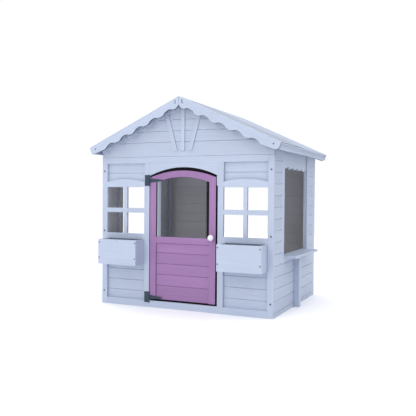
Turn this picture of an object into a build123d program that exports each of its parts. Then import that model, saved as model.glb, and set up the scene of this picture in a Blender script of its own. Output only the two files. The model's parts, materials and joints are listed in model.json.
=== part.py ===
from build123d import *
import os
from math import ceil, cos, radians, sin, tan

# A child's wooden playhouse: four flat wall panels, two gables and a pitched roof.
# Millimetres. +X is to the right of a person facing the front, +Y goes to the back, +Z is up.
# The origin is on the ground in the middle of the doorway, half way through the front wall's frame.

# ---- overall sizes
WIDTH = 1200.0            # across the front wall
DEPTH = 972.0             # front wall's face to back wall's face
BELT_H = 970.0            # height of the front and back wall panels
ROOF_PITCH = 24.6         # degrees
GABLE_HEEL = 92.4         # belt to the roof's top surface, above the outer wall line
EAVE_REACH = 60.0         # roof past the side walls, measured level
FRONT_REACH = 66.0        # bargeboard's face in front of the front wall
REAR_REACH = 103.0        # rear bargeboard's face behind the back wall
FRONT_PANEL_L = 480.0     # front roof panel along Y, from its bargeboard to the seam

# ---- timber sections
FRAME_T = 18.0            # thickness of every wall frame
FRAME_W = 38.0            # width of stiles and posts
BOARD_T = 10.0            # siding board
BOARD_PITCH = 70.0        # cover width of a siding board
BOARD_BEVEL = 2.6         # bevel along both long edges of a board
BOARD_GAP = 0.8           # open joint between two boards
MIN_STRIP = 26.0          # a narrower strip stays on the board beside it
WALL_JOINT_Z = 28.0       # height of one joint of the wall siding
FIT = 0.5                 # slack at the ends of a piece that drops between two others

# ---- front wall
BOTTOM_RAIL_H = 43.0
TOP_RAIL_H = 40.0
SILL_RAIL_H = 37.0
WINDOW_SILL_Z = 474.0
WINDOW_HEAD_DROP = 194.0  # window head below the belt
HEAD_SPRING_H = 34.0      # window head board at its ends
HEAD_CROWN_H = 52.0       # and in the middle
MULLION_W = 26.0
TRANSOM_H = 30.0
DOORWAY_W = 480.0
DOORWAY_HEAD_H = 28.0     # head board at the arch's crown
DOORWAY_RISE = 54.0       # of the arch, from its ends to its crown

# ---- door
DOOR_T = 18.0
DOOR_HINGE_GAP = 6.0
DOOR_LATCH_GAP = 12.0
DOOR_FOOT_GAP = 12.0
DOOR_SPRING_GAP = 11.0
DOOR_HEAD_GAP = 21.0
DOOR_STILE_W = 45.0
DOOR_ARCH_RAIL_W = 40.0   # at the crown
DOOR_OPEN_SPRING = 29.0   # opening's arch begins this far below the door's own
DOOR_OPEN_Z = 459.0       # top of the middle rail
DOOR_MID_RAIL_H = 40.0
DOOR_FIRST_BOARD = 91.0   # lowest board
DOOR_PANEL_SET = 6.0      # boards' face behind the stiles' face
TONGUE = 6.0              # boards' ends in the stiles' grooves
TONGUE_FIT = 0.2

# ---- hinges, knob, catch, stops
HINGE_LOW_SET = 11.0      # strap's middle above the door's foot
HINGE_HIGH_SET = 18.0     # strap's middle below the door's arch
LEAF_W = 36.0             # from the pin to the leaf's far edge
LEAF_H = 70.0
STRAP_ROOT_H = 30.0
STRAP_TIP_H = 9.0
STRAP_L = 94.0            # from the pin to the strap's tip
HINGE_T = 2.0
KNUCKLE_R = 3.5
PIN_R = 1.75
PIN_CLEAR = 0.05
KNUCKLE_GAP = 0.5
KNOB_D = 38.0
KNOB_RISE = 7.0           # above the middle rail
KNOB_NECK_D = 17.0
KNOB_NECK_L = 6.0
KNOB_SCREW_D = 4.0
PIN_CAP_D = 5.6
PIN_CAP_H = 1.4
CATCH_H = 61.0
CATCH_W = 9.0
CATCH_SET = 4.0           # catch's face behind the wall's face
STOP_IN_LATCH = 24.0      # latch strip's edge past the stile's, into the door's opening
STOP_SET_HINGE = 5.0      # hinge strip's edge short of the stile's
STOP_SET_HEAD = 7.0       # head stop's edge above the arch rail's
STOP_FOOT_LAP = 10.0      # sill stop behind the door's foot
STOP_RAIL_LAP = 18.0      # and behind the bottom rail
KNOB_SCREW_POCKET = 14.0

# ---- flower boxes
BOX_REACH = 105.0         # front board's face from the wall's face
BOX_H = 162.0
BOX_END_T = 16.0
BOX_BOARD_T = 10.0
BOX_SCREW_TOP = 20.0      # screws below the front board's top
BOX_SCREW_FOOT = 34.0     # and above its foot

# ---- gables
GABLE_FIRST_BOARD = 92.0
RAKE_W = 40.0             # rafters inside the gables
RAKE_TRIM_W = 38.0
TRIM_T = 8.0
FAN_SLAT_W = 27.0
FAN_FOOT_RISE = 35.0      # slats' feet above the belt
FAN_FOOT_X = 50.0         # middle of a side slat at its foot
FAN_LEAN = 15.7           # degrees, each side slat from upright

# ---- side walls
FRONT_PIER_W = 184.0      # from the front wall's inside to the opening
REAR_PIER_W = 187.0       # from the opening to the back wall's inside
NEAR_CASING_W = 56.0
FAR_CASING_W = 38.0
CASING_FOOT_Z = 308.0
SHELF_TOP_Z = 356.0
SHELF_T = 16.0
SHELF_REACH = 80.0        # past the wall's face
SHELF_INNER = 6.0         # past the frame's inner face
SILL_REACH = 3.0          # left sill board past the wall's face
LEG_W = 38.0
LEG_SET = 244.0           # middle of the leg behind the opening's front edge
VALANCE_DROP = 129.2      # tips of the teeth below the side wall's top
VALANCE_NOTCH = 17.0
VALANCE_TEETH = 5
CORNER_STRIP_W = 44.0
SIDE_RAIL_H = 38.0
ROOF_CLEAR = 1.0          # side wall's top below the roof's battens

# ---- back wall
BACK_OPENING_W = 500.0
BACK_SILL_Z = 365.0
BACK_HEAD_DROP = 72.0     # opening's head below the belt

# ---- roof
ROOF_BOARD_T = 12.0
ROOF_BOARDS = 8           # down each slope
ROOF_EDGE_SET = 2.0       # at the eave: boards end this far inside it and bargeboards outside it
BATTEN_T = 20.0
BATTEN_W = 20.0
BATTEN_STOP_SET = 34.0    # short of the eave, along the slope
BATTEN_SEAM_GAP = 1.0
BARGE_T = 16.0
BARGE_W = 62.0            # at a lobe
BARGE_NOTCH_W = 45.0      # at a notch
BARGE_END_W = 56.0
BARGE_END_R = 26.0
SCALLOP_PITCH = 116.5
SCALLOP_FIRST = 106.5     # first whole notch from the ridge
SCALLOP_NOTCH_HALF = 37.0
SCALLOP_LIP = 3.0         # lobe's drop below the notch's ends
APEX_CUT_TOP = 55.0       # pointed cut under the ridge: its top below the ridge
APEX_CUT_FOOT = 80.0      # and its foot
APEX_CUT_HALF = 22.0
EAVE_STRIP_W = 18.0
EAVE_STRIP_H = 12.0
EAVE_REBATE = 6.0
EAVE_STRIP_SET = 5.0      # strip's face behind the roof's edge
EAVE_DROP = 41.0          # strip's underside below the roof's top surface at the edge
RIDGE_BEAM_W = 24.0
RIDGE_BEAM_H = 44.0
MITRE = 0.4               # half the joint at the ridge

# ---- screws and nails
SCREW_HEAD_D, SCREW_HEAD_H, SCREW_D = 8.0, 1.6, 4.0
BOLT_HEAD_D, BOLT_HEAD_H, BOLT_D, BOLT_L = 10.0, 2.0, 5.0, 46.0
NAIL_HEAD_D, NAIL_HEAD_H, NAIL_D, NAIL_L = 6.0, 1.0, 2.4, 22.0
HINGE_SCREW_HEAD_D, HINGE_SCREW_HEAD_H, HINGE_SCREW_D, HINGE_SCREW_L = 6.4, 1.2, 3.0, 14.0
BOLT_EDGE = 17.0
BOLT_LOW_Z, BOLT_MID_Z = 86.0, 486.0
BOLT_TOP_DROP = 88.0      # highest bolt below the belt
BOX_SCREW_L = 30.0
NAIL_EDGE = 11.0          # nails from the board's end
NAIL_RISE = 5.5           # and from its lower edge
NAIL_SKIP = 2             # lowest boards without nails
LEAF_SCREWS = ((-26.0, -19.0), (-26.0, 19.0), (-16.0, 0.0))     # from the pin, and from the middle
STRAP_SCREWS = (14.0, 42.0, 76.0)                               # from the pin
BARGE_TOP_SCREWS = ((33.0, 17.0), (40.0, 28.0))                 # run down the slope, drop below the top
BARGE_FOOT_SCREW = (38.0, 27.0)                                 # run up from the eave, drop below the top

# ---- places that follow from the sizes
X_OUT = WIDTH / 2
X_BOARD = X_OUT - BOARD_T            # side siding's back, side frame's face
X_FRAME = X_BOARD - FRAME_T          # side frame's inner face
X_STILE = X_OUT - FRAME_W            # front corner stiles' inner edge
X_DOORWAY = DOORWAY_W / 2
X_WINDOW = X_DOORWAY + FRAME_W       # window's edge at the door stile
Y_FRONT = -FRAME_T / 2
Y_FRAME = FRAME_T / 2
Y_FRONT_IN = Y_FRAME + BOARD_T
Y_BACK = Y_FRONT + DEPTH
Y_BACK_FRAME = Y_BACK - FRAME_T
Y_BACK_IN = Y_BACK_FRAME - BOARD_T
OPENING_Y0 = Y_FRONT_IN + FRONT_PIER_W
OPENING_Y1 = Y_BACK_IN - REAR_PIER_W
LEG_Y = OPENING_Y0 + LEG_SET
WINDOW_HEAD_Z = BELT_H - WINDOW_HEAD_DROP
TRANSOM_Z = (WINDOW_SILL_Z + WINDOW_HEAD_Z) / 2
BACK_HEAD_Z = BELT_H - BACK_HEAD_DROP
DOORWAY_CROWN_Z = BELT_H - TOP_RAIL_H - DOORWAY_HEAD_H
DOORWAY_SPRING_Z = DOORWAY_CROWN_Z - DOORWAY_RISE
SLOPE = radians(ROOF_PITCH)
X_EAVE = X_OUT + EAVE_REACH
RIDGE_Z = BELT_H + GABLE_HEEL + X_OUT * tan(SLOPE)
SLOPE_L = X_EAVE / cos(SLOPE)
Y_BARGE = Y_FRONT - FRONT_REACH
Y_ROOF0 = Y_BARGE + BARGE_T
Y_ROOF1 = Y_BACK + REAR_REACH - BARGE_T
ROOF_SEAM_Y = Y_ROOF0 + FRONT_PANEL_L
SHELF_Z = SHELF_TOP_Z - SHELF_T
DOOR_X0 = -X_DOORWAY + DOOR_HINGE_GAP
DOOR_X1 = X_DOORWAY - DOOR_LATCH_GAP
DOOR_FOOT_Z = BOTTOM_RAIL_H + DOOR_FOOT_GAP
DOOR_SPRING_Z = DOORWAY_SPRING_Z - DOOR_SPRING_GAP
DOOR_CROWN_Z = DOORWAY_CROWN_Z - DOOR_HEAD_GAP
DOOR_BACK = Y_FRONT + DOOR_T
DOOR_IN0 = DOOR_X0 + DOOR_STILE_W
DOOR_IN1 = DOOR_X1 - DOOR_STILE_W
DOOR_MID_Z = DOOR_OPEN_Z - DOOR_MID_RAIL_H
HINGE_X = -X_DOORWAY + DOOR_HINGE_GAP / 2
HINGE_Y = Y_FRONT - HINGE_T / 2 - KNUCKLE_R
HINGE_HEIGHTS = (DOOR_FOOT_Z + HINGE_LOW_SET, DOOR_SPRING_Z - HINGE_HIGH_SET)
SIDES = (("left", -1), ("right", 1))

os.makedirs("parts", exist_ok=True)


def save(piece, name):
    """Label a finished piece and write its STEP file."""
    piece.part.label = name
    export_step(piece.part, f"parts/{name}.step")


def across(x):
    """Plane facing +X at x, drawn on in (y, z)."""
    return Plane(origin=(x, 0, 0), x_dir=(0, 1, 0), z_dir=(1, 0, 0))


def along(y):
    """Plane facing -Y at y, drawn on in (x, z)."""
    return Plane(origin=(0, y, 0), x_dir=(1, 0, 0), z_dir=(0, -1, 0))


def block(x0, x1, y0, y1, z0, z1, mode=Mode.ADD):
    """A square-edged length of timber between two corners."""
    with Locations(((x0 + x1) / 2, (y0 + y1) / 2, (z0 + z1) / 2)):
        Box(abs(x1 - x0), abs(y1 - y0), abs(z1 - z0), mode=mode)


def prism(plane, points, depth, mode=Mode.ADD):
    """A closed polygon drawn on a plane and extruded."""
    with BuildSketch(plane) as profile:
        with BuildLine():
            Polyline(*points, close=True)
        make_face()
    extrude(profile.sketch, amount=depth, mode=mode)


def arched(y, depth, x0, x1, foot, spring, crown, mode=Mode.ADD):
    """A panel with a segmental arch for its top, extruded towards -Y from y."""
    with BuildSketch(along(y)) as profile:
        with BuildLine():
            Polyline((x1, spring), (x1, foot), (x0, foot), (x0, spring))
            ThreePointArc((x0, spring), ((x0 + x1) / 2, crown), (x1, spring))
        make_face()
    extrude(profile.sketch, amount=depth, mode=mode)


def courses(low, high, joint):
    """Lowest and highest level of each board between two levels, given one joint's level."""
    first = joint - BOARD_PITCH * ceil((joint - low) / BOARD_PITCH)
    count = int((high - first) / BOARD_PITCH) + 1
    joints = [first + n * BOARD_PITCH for n in range(count)]
    edges = [low, *[z for z in joints if low + MIN_STRIP < z < high - MIN_STRIP], high]
    return list(zip(edges, edges[1:]))


def board_section(face, back, low, high):
    """A siding board's section: two bevels on the face side, and half a joint off each edge."""
    inward = BOARD_BEVEL if back > face else -BOARD_BEVEL
    z0, z1 = low + BOARD_GAP / 2, high - BOARD_GAP / 2
    return [(back, z0), (face + inward, z0), (face, z0 + BOARD_BEVEL),
            (face, z1 - BOARD_BEVEL), (face + inward, z1), (back, z1)]


def boards_along_x(x0, x1, face, back, low, high, joint=WALL_JOINT_Z):
    """Courses of siding that run across the front or back."""
    for z0, z1 in courses(low, high, joint):
        prism(across(min(x0, x1)), board_section(face, back, z0, z1), abs(x1 - x0))


def boards_along_y(y0, y1, face, back, low, high, joint=WALL_JOINT_Z):
    """Courses of siding that run along a side wall."""
    for z0, z1 in courses(low, high, joint):
        prism(along(y1), board_section(face, back, z0, z1), y1 - y0)


def on_slope(side, run, rise):
    """(x, z) of a point a run down the slope from the ridge and a rise off its top surface."""
    x = run * cos(SLOPE) + rise * sin(SLOPE)
    return side * x, RIDGE_Z - run * sin(SLOPE) + rise * cos(SLOPE)


def roof_z(x, below=0.0):
    """Level of the roof's top surface, or of the surface a thickness below it, at x."""
    return RIDGE_Z - abs(x) * tan(SLOPE) - below / cos(SLOPE)


def fastener(at, out, head_d, head_h, shank_d, shank_l):
    """A screw or nail: its head stands on a point, and its shank goes in behind it."""
    with Locations(Plane(origin=at, z_dir=out)):
        Cylinder(head_d / 2, head_h, align=(Align.CENTER, Align.CENTER, Align.MIN))
        Cylinder(shank_d / 2, shank_l, align=(Align.CENTER, Align.CENTER, Align.MAX))


# ======================================================= front wall
with BuildPart() as front_corner_stiles:
    for _, side in SIDES:
        block(side * X_STILE, side * X_OUT, Y_FRONT, Y_FRAME, 0, BELT_H)
save(front_corner_stiles, "front_corner_stiles")

with BuildPart() as front_bottom_rail:
    block(-X_STILE, X_STILE, Y_FRONT, Y_FRAME, 0, BOTTOM_RAIL_H)
save(front_bottom_rail, "front_bottom_rail")

with BuildPart() as front_top_rail:
    block(-X_STILE, X_STILE, Y_FRONT, Y_FRAME, BELT_H - TOP_RAIL_H, BELT_H)
save(front_top_rail, "front_top_rail")

with BuildPart() as door_side_stiles:
    for _, side in SIDES:
        block(side * X_DOORWAY, side * X_WINDOW, Y_FRONT, Y_FRAME, BOTTOM_RAIL_H, BELT_H - TOP_RAIL_H)
save(door_side_stiles, "door_side_stiles")

with BuildPart() as window_sill_rails:
    for _, side in SIDES:
        block(side * X_WINDOW, side * X_STILE, Y_FRONT, Y_FRAME, WINDOW_SILL_Z - SILL_RAIL_H, WINDOW_SILL_Z)
save(window_sill_rails, "window_sill_rails")

with BuildPart() as window_head_boards:
    for _, side in SIDES:
        x0, x1 = sorted((side * X_WINDOW, side * X_STILE))
        arched(Y_FRAME, FRAME_T, x0, x1, WINDOW_HEAD_Z, WINDOW_HEAD_Z + HEAD_SPRING_H,
               WINDOW_HEAD_Z + HEAD_CROWN_H)
save(window_head_boards, "window_head_boards")

with BuildPart() as doorway_head_board:
    block(-X_DOORWAY, X_DOORWAY, Y_FRONT, Y_FRAME, DOORWAY_SPRING_Z, BELT_H - TOP_RAIL_H)
    arched(Y_FRAME, FRAME_T, -X_DOORWAY, X_DOORWAY, BOTTOM_RAIL_H, DOORWAY_SPRING_Z,
           DOORWAY_CROWN_Z, mode=Mode.SUBTRACT)
save(doorway_head_board, "doorway_head_board")

X_MULLION = (X_WINDOW + X_STILE) / 2
with BuildPart() as window_mullions:
    for _, side in SIDES:
        block(side * X_MULLION - MULLION_W / 2, side * X_MULLION + MULLION_W / 2, Y_FRONT, Y_FRAME,
              WINDOW_SILL_Z, WINDOW_HEAD_Z)
save(window_mullions, "window_mullions")

with BuildPart() as window_transoms:
    for _, side in SIDES:
        for x0, x1 in ((X_WINDOW, X_MULLION - MULLION_W / 2), (X_MULLION + MULLION_W / 2, X_STILE)):
            block(side * x0, side * x1, Y_FRONT, Y_FRAME,
                  TRANSOM_Z - TRANSOM_H / 2, TRANSOM_Z + TRANSOM_H / 2)
save(window_transoms, "window_transoms")

X_LAP = X_DOORWAY + FRAME_W / 2      # siding's edge, half way across a door stile
with BuildPart() as front_lower_siding:
    for _, side in SIDES:
        boards_along_x(side * X_LAP, side * X_BOARD, Y_FRAME, Y_FRONT_IN,
                       WALL_JOINT_Z, WINDOW_SILL_Z - SILL_RAIL_H / 2)
save(front_lower_siding, "front_lower_siding")

with BuildPart() as front_upper_siding:
    for _, side in SIDES:
        boards_along_x(side * X_LAP, side * X_BOARD, Y_FRAME, Y_FRONT_IN,
                       WINDOW_HEAD_Z + HEAD_SPRING_H / 2, BELT_H - TOP_RAIL_H / 2)
save(front_upper_siding, "front_upper_siding")

# ======================================================= flower boxes
Y_BOX = Y_FRONT - BOX_REACH
BOX_TOP_Z = WINDOW_SILL_Z - SILL_RAIL_H
BOX_FOOT_Z = BOX_TOP_Z - BOX_H
BOX_X0 = X_WINDOW + FIT
BOX_X1 = X_STILE - FIT
with BuildPart() as flower_box_fronts:
    for _, side in SIDES:
        block(side * BOX_X0, side * BOX_X1, Y_BOX, Y_BOX + BOX_BOARD_T, BOX_FOOT_Z + BOX_BOARD_T, BOX_TOP_Z)
save(flower_box_fronts, "flower_box_fronts")

with BuildPart() as flower_box_ends:
    for _, side in SIDES:
        for x0, x1 in ((BOX_X0, BOX_X0 + BOX_END_T), (BOX_X1 - BOX_END_T, BOX_X1)):
            block(side * x0, side * x1, Y_BOX + BOX_BOARD_T, Y_FRAME, BOX_FOOT_Z + BOX_BOARD_T, BOX_TOP_Z)
save(flower_box_ends, "flower_box_ends")

with BuildPart() as flower_box_floors:
    for _, side in SIDES:
        block(side * BOX_X0, side * BOX_X1, Y_BOX, Y_FRAME, BOX_FOOT_Z, BOX_FOOT_Z + BOX_BOARD_T)
save(flower_box_floors, "flower_box_floors")

with BuildPart() as flower_box_screws:
    for _, side in SIDES:
        for x in (BOX_X0 + BOX_END_T / 2, BOX_X1 - BOX_END_T / 2):
            for z in (BOX_FOOT_Z + BOX_BOARD_T + BOX_SCREW_FOOT, BOX_TOP_Z - BOX_SCREW_TOP):
                fastener((side * x, Y_BOX, z), (0, -1, 0), SCREW_HEAD_D, SCREW_HEAD_H, SCREW_D, BOX_SCREW_L)
save(flower_box_screws, "flower_box_screws")

# ======================================================= side walls
# The frame is inside and the boards outside. Its top stops under the roof's battens.
SIDE_TOP_Z = roof_z(X_OUT, ROOF_BOARD_T + BATTEN_T) - ROOF_CLEAR
Y_SIDE1 = Y_BACK_IN - CORNER_STRIP_W
VALANCE_TIP_Z = SIDE_TOP_Z - VALANCE_DROP
TOOTH = (OPENING_Y1 - OPENING_Y0) / VALANCE_TEETH
with BuildPart() as side_posts:
    for _, side in SIDES:
        for y0, y1 in ((Y_FRONT_IN, Y_FRONT_IN + FRAME_W), (OPENING_Y0 - FRAME_W, OPENING_Y0),
                       (OPENING_Y1, OPENING_Y1 + FRAME_W), (Y_BACK_IN - FRAME_W, Y_BACK_IN)):
            block(side * X_FRAME, side * X_BOARD, y0, y1, SIDE_RAIL_H, SIDE_TOP_Z - SIDE_RAIL_H)
        block(side * X_FRAME, side * X_BOARD, LEG_Y - LEG_W / 2, LEG_Y + LEG_W / 2,
              SIDE_RAIL_H, SHELF_Z - SIDE_RAIL_H)
save(side_posts, "side_posts")

with BuildPart() as side_rails:
    for _, side in SIDES:
        block(side * X_FRAME, side * X_BOARD, Y_FRONT_IN, Y_BACK_IN, 0, SIDE_RAIL_H)
        block(side * X_FRAME, side * X_BOARD, Y_FRONT_IN, Y_BACK_IN, SIDE_TOP_Z - SIDE_RAIL_H, SIDE_TOP_Z)
        block(side * X_FRAME, side * X_BOARD, OPENING_Y0, OPENING_Y1, SHELF_Z - SIDE_RAIL_H, SHELF_Z)
save(side_rails, "side_rails")

for name, side in SIDES:
    with BuildPart() as side_siding:
        boards_along_y(Y_FRAME, Y_SIDE1, side * X_OUT, side * X_BOARD, 0, CASING_FOOT_Z)
        boards_along_y(OPENING_Y0, OPENING_Y1, side * X_OUT, side * X_BOARD, CASING_FOOT_Z, SHELF_Z)
        for y0, y1 in ((Y_FRAME, OPENING_Y0 - NEAR_CASING_W), (OPENING_Y1 + FAR_CASING_W, Y_SIDE1)):
            boards_along_y(y0, y1, side * X_OUT, side * X_BOARD, CASING_FOOT_Z, SIDE_TOP_Z)
    save(side_siding, f"side_siding_{name}")

with BuildPart() as side_casings:
    for _, side in SIDES:
        for y0, y1 in ((OPENING_Y0 - NEAR_CASING_W + FIT, OPENING_Y0),
                       (OPENING_Y1, OPENING_Y1 + FAR_CASING_W - FIT)):
            block(side * X_BOARD, side * X_OUT, y0, y1, CASING_FOOT_Z + FIT, SIDE_TOP_Z)
        block(side * X_BOARD, side * X_OUT, Y_SIDE1 + FIT, Y_BACK_FRAME, 0, SIDE_TOP_Z)
save(side_casings, "side_casings")

with BuildPart() as side_valances:
    teeth = []
    for n in range(VALANCE_TEETH):
        teeth += [(OPENING_Y0 + n * TOOTH, VALANCE_TIP_Z + VALANCE_NOTCH),
                  (OPENING_Y0 + (n + 0.5) * TOOTH, VALANCE_TIP_Z)]
    outline = [*teeth, (OPENING_Y1, VALANCE_TIP_Z + VALANCE_NOTCH), (OPENING_Y1, SIDE_TOP_Z - SIDE_RAIL_H),
               (OPENING_Y0, SIDE_TOP_Z - SIDE_RAIL_H)]
    for _, side in SIDES:
        prism(across(min(side * X_FRAME, side * X_BOARD)), outline, FRAME_T)
save(side_valances, "side_valances")

with BuildPart() as serving_shelf:
    block(X_FRAME - SHELF_INNER, X_OUT + SHELF_REACH, OPENING_Y0 + FIT, OPENING_Y1 - FIT,
          SHELF_Z, SHELF_TOP_Z)
save(serving_shelf, "serving_shelf")

with BuildPart() as shelf_leg:
    block(X_OUT, X_OUT + LEG_W, LEG_Y - LEG_W / 2, LEG_Y + LEG_W / 2, 0, SHELF_Z)
save(shelf_leg, "shelf_leg")

with BuildPart() as left_sill_board:
    block(-X_OUT - SILL_REACH, -X_FRAME + SHELF_INNER, OPENING_Y0 + FIT, OPENING_Y1 - FIT,
          SHELF_Z, SHELF_TOP_Z)
save(left_sill_board, "left_sill_board")

NAILS_UPPER = [low + NAIL_RISE for low, _ in courses(CASING_FOOT_Z, SIDE_TOP_Z, WALL_JOINT_Z)]
NAILS_LOWER = [low + NAIL_RISE for low, _ in courses(0, CASING_FOOT_Z, WALL_JOINT_Z)][NAIL_SKIP:]
with BuildPart() as siding_nails:
    for _, side in SIDES:
        for y, heights in ((OPENING_Y0 - NEAR_CASING_W - NAIL_EDGE, NAILS_UPPER),
                           (Y_SIDE1 - NAIL_EDGE, NAILS_LOWER + NAILS_UPPER),
                           (LEG_Y - LEG_W / 2 - NAIL_EDGE, NAILS_LOWER)):
            for z in heights:
                fastener((side * X_OUT, y, z), (side, 0, 0), NAIL_HEAD_D, NAIL_HEAD_H, NAIL_D, NAIL_L)
save(siding_nails, "siding_nails")

# ======================================================= back wall
X_BACK = BACK_OPENING_W / 2
with BuildPart() as back_corner_stiles:
    for _, side in SIDES:
        block(side * X_STILE, side * X_OUT, Y_BACK_FRAME, Y_BACK, 0, BELT_H)
save(back_corner_stiles, "back_corner_stiles")

with BuildPart() as back_window_stiles:
    for _, side in SIDES:
        block(side * X_BACK, side * (X_BACK + FRAME_W), Y_BACK_FRAME, Y_BACK,
              BOTTOM_RAIL_H, BELT_H - TOP_RAIL_H)
save(back_window_stiles, "back_window_stiles")

with BuildPart() as back_bottom_rail:
    block(-X_STILE, X_STILE, Y_BACK_FRAME, Y_BACK, 0, BOTTOM_RAIL_H)
save(back_bottom_rail, "back_bottom_rail")

with BuildPart() as back_top_rail:
    block(-X_STILE, X_STILE, Y_BACK_FRAME, Y_BACK, BELT_H - TOP_RAIL_H, BELT_H)
save(back_top_rail, "back_top_rail")

with BuildPart() as back_opening_rails:
    block(-X_BACK, X_BACK, Y_BACK_FRAME, Y_BACK, BACK_SILL_Z - FRAME_W, BACK_SILL_Z)
    block(-X_BACK, X_BACK, Y_BACK_FRAME, Y_BACK, BACK_HEAD_Z, BELT_H - TOP_RAIL_H)
save(back_opening_rails, "back_opening_rails")

X_BACK_LAP = X_BACK + FRAME_W / 2
with BuildPart() as back_siding:
    for _, side in SIDES:
        boards_along_x(side * X_BACK_LAP, side * X_BOARD, Y_BACK_FRAME, Y_BACK_IN,
                       WALL_JOINT_Z, BELT_H - TOP_RAIL_H / 2)
    boards_along_x(-X_BACK_LAP + FIT, X_BACK_LAP - FIT, Y_BACK_FRAME, Y_BACK_IN,
                   WALL_JOINT_Z, BACK_SILL_Z - FRAME_W / 2)
save(back_siding, "back_siding")

# ======================================================= gables
# Boards outside, a rafter and tie frame inside. Everything stops at the roof boards' underside.
GABLE_JOINT_Z = BELT_H + GABLE_FIRST_BOARD
RAFTER_FOOT_Z = BELT_H + FRAME_W
RAFTER_END_Z = max(roof_z(X_BOARD, ROOF_BOARD_T + RAKE_W), RAFTER_FOOT_Z) + FIT
for name, face, back, frame_back in (("front", Y_FRONT, Y_FRONT + BOARD_T, Y_FRONT_IN),
                                     ("rear", Y_BACK, Y_BACK - BOARD_T, Y_BACK - BOARD_T)):
    under = ROOF_BOARD_T
    with BuildPart() as gable_boards:
        boards_along_x(-X_OUT, X_OUT, face, back, BELT_H, roof_z(0, under) - BOARD_T, joint=GABLE_JOINT_Z)
        prism(along(max(face, back)), [(-X_OUT, BELT_H), (X_OUT, BELT_H), (X_OUT, roof_z(X_OUT, under)),
                                       (0, roof_z(0, under)), (-X_OUT, roof_z(X_OUT, under))],
              BOARD_T, mode=Mode.INTERSECT)
    save(gable_boards, f"gable_boards_{name}")

    with BuildPart() as gable_frame:
        block(-X_BOARD, X_BOARD, frame_back - FRAME_T, frame_back, BELT_H, RAFTER_FOOT_Z)
        for _, side in SIDES:
            prism(along(frame_back), [(side * MITRE, roof_z(MITRE, under)),
                                      (side * X_BOARD, roof_z(X_BOARD, under)),
                                      (side * X_BOARD, RAFTER_END_Z),
                                      (side * MITRE, roof_z(MITRE, under + RAKE_W))], FRAME_T)
    save(gable_frame, f"gable_frame_{name}")

with BuildPart() as rake_trims:
    for _, side in SIDES:
        prism(along(Y_FRONT), [(side * x, roof_z(x, below)) for x, below in (
            (MITRE, ROOF_BOARD_T), (X_OUT, ROOF_BOARD_T),
            (X_OUT, ROOF_BOARD_T + RAKE_TRIM_W), (MITRE, ROOF_BOARD_T + RAKE_TRIM_W))], TRIM_T)
save(rake_trims, "rake_trims")

# Three slats fan out from the belt and stop under the rake trims.
with BuildPart() as fan_slats:
    slat_foot = BELT_H + FAN_FOOT_RISE
    spread = (RIDGE_Z - slat_foot) * tan(radians(FAN_LEAN))
    half = FAN_SLAT_W / 2
    for turn in (-1, 0, 1):
        foot, head = turn * FAN_FOOT_X, turn * (FAN_FOOT_X + spread)
        prism(along(Y_FRONT), [(foot - half, slat_foot), (foot + half, slat_foot),
                               (head + half, RIDGE_Z), (head - half, RIDGE_Z)], TRIM_T)
    under = ROOF_BOARD_T + RAKE_TRIM_W
    prism(along(Y_FRONT), [(-X_OUT, roof_z(X_OUT, under) - FIT), (0, roof_z(0, under) - FIT),
                           (X_OUT, roof_z(X_OUT, under) - FIT), (X_OUT, BELT_H), (-X_OUT, BELT_H)],
          TRIM_T, mode=Mode.INTERSECT)
save(fan_slats, "fan_slats")

# ======================================================= roof
ROOF_BOARD_W = (SLOPE_L - ROOF_EDGE_SET) / ROOF_BOARDS
for name, side in SIDES:
    with BuildPart() as roof_boards:
        for n in range(ROOF_BOARDS):
            low, high = n * ROOF_BOARD_W + BOARD_GAP / 2, (n + 1) * ROOF_BOARD_W - BOARD_GAP / 2
            section = [on_slope(side, low + BOARD_BEVEL, 0), on_slope(side, high - BOARD_BEVEL, 0),
                       on_slope(side, high, -BOARD_BEVEL), on_slope(side, high, -ROOF_BOARD_T),
                       on_slope(side, low, -ROOF_BOARD_T), on_slope(side, low, -BOARD_BEVEL)]
            if n == 0:
                section = [(side * MITRE, roof_z(MITRE)), *section[1:4],
                           (side * MITRE, roof_z(MITRE, ROOF_BOARD_T))]
            for y0, y1 in ((Y_ROOF0, ROOF_SEAM_Y - FIT), (ROOF_SEAM_Y + FIT, Y_ROOF1)):
                prism(along(y1), section, y1 - y0)
    save(roof_boards, f"roof_boards_{name}")

BATTEN_START = (RIDGE_BEAM_W / 2 + (ROOF_BOARD_T + BATTEN_T) * sin(SLOPE)) / cos(SLOPE) + FIT
with BuildPart() as roof_battens:
    for _, side in SIDES:
        batten_stop = SLOPE_L - BATTEN_STOP_SET
        section = [on_slope(side, run, -drop) for run, drop in (
            (BATTEN_START, ROOF_BOARD_T), (batten_stop, ROOF_BOARD_T),
            (batten_stop, ROOF_BOARD_T + BATTEN_T), (BATTEN_START, ROOF_BOARD_T + BATTEN_T))]
        for y1 in (Y_ROOF0 + BATTEN_W, ROOF_SEAM_Y - BATTEN_SEAM_GAP,
                   ROOF_SEAM_Y + BATTEN_SEAM_GAP + BATTEN_W, Y_ROOF1):
            prism(along(y1), section, BATTEN_W)
save(roof_battens, "roof_battens")

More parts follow.
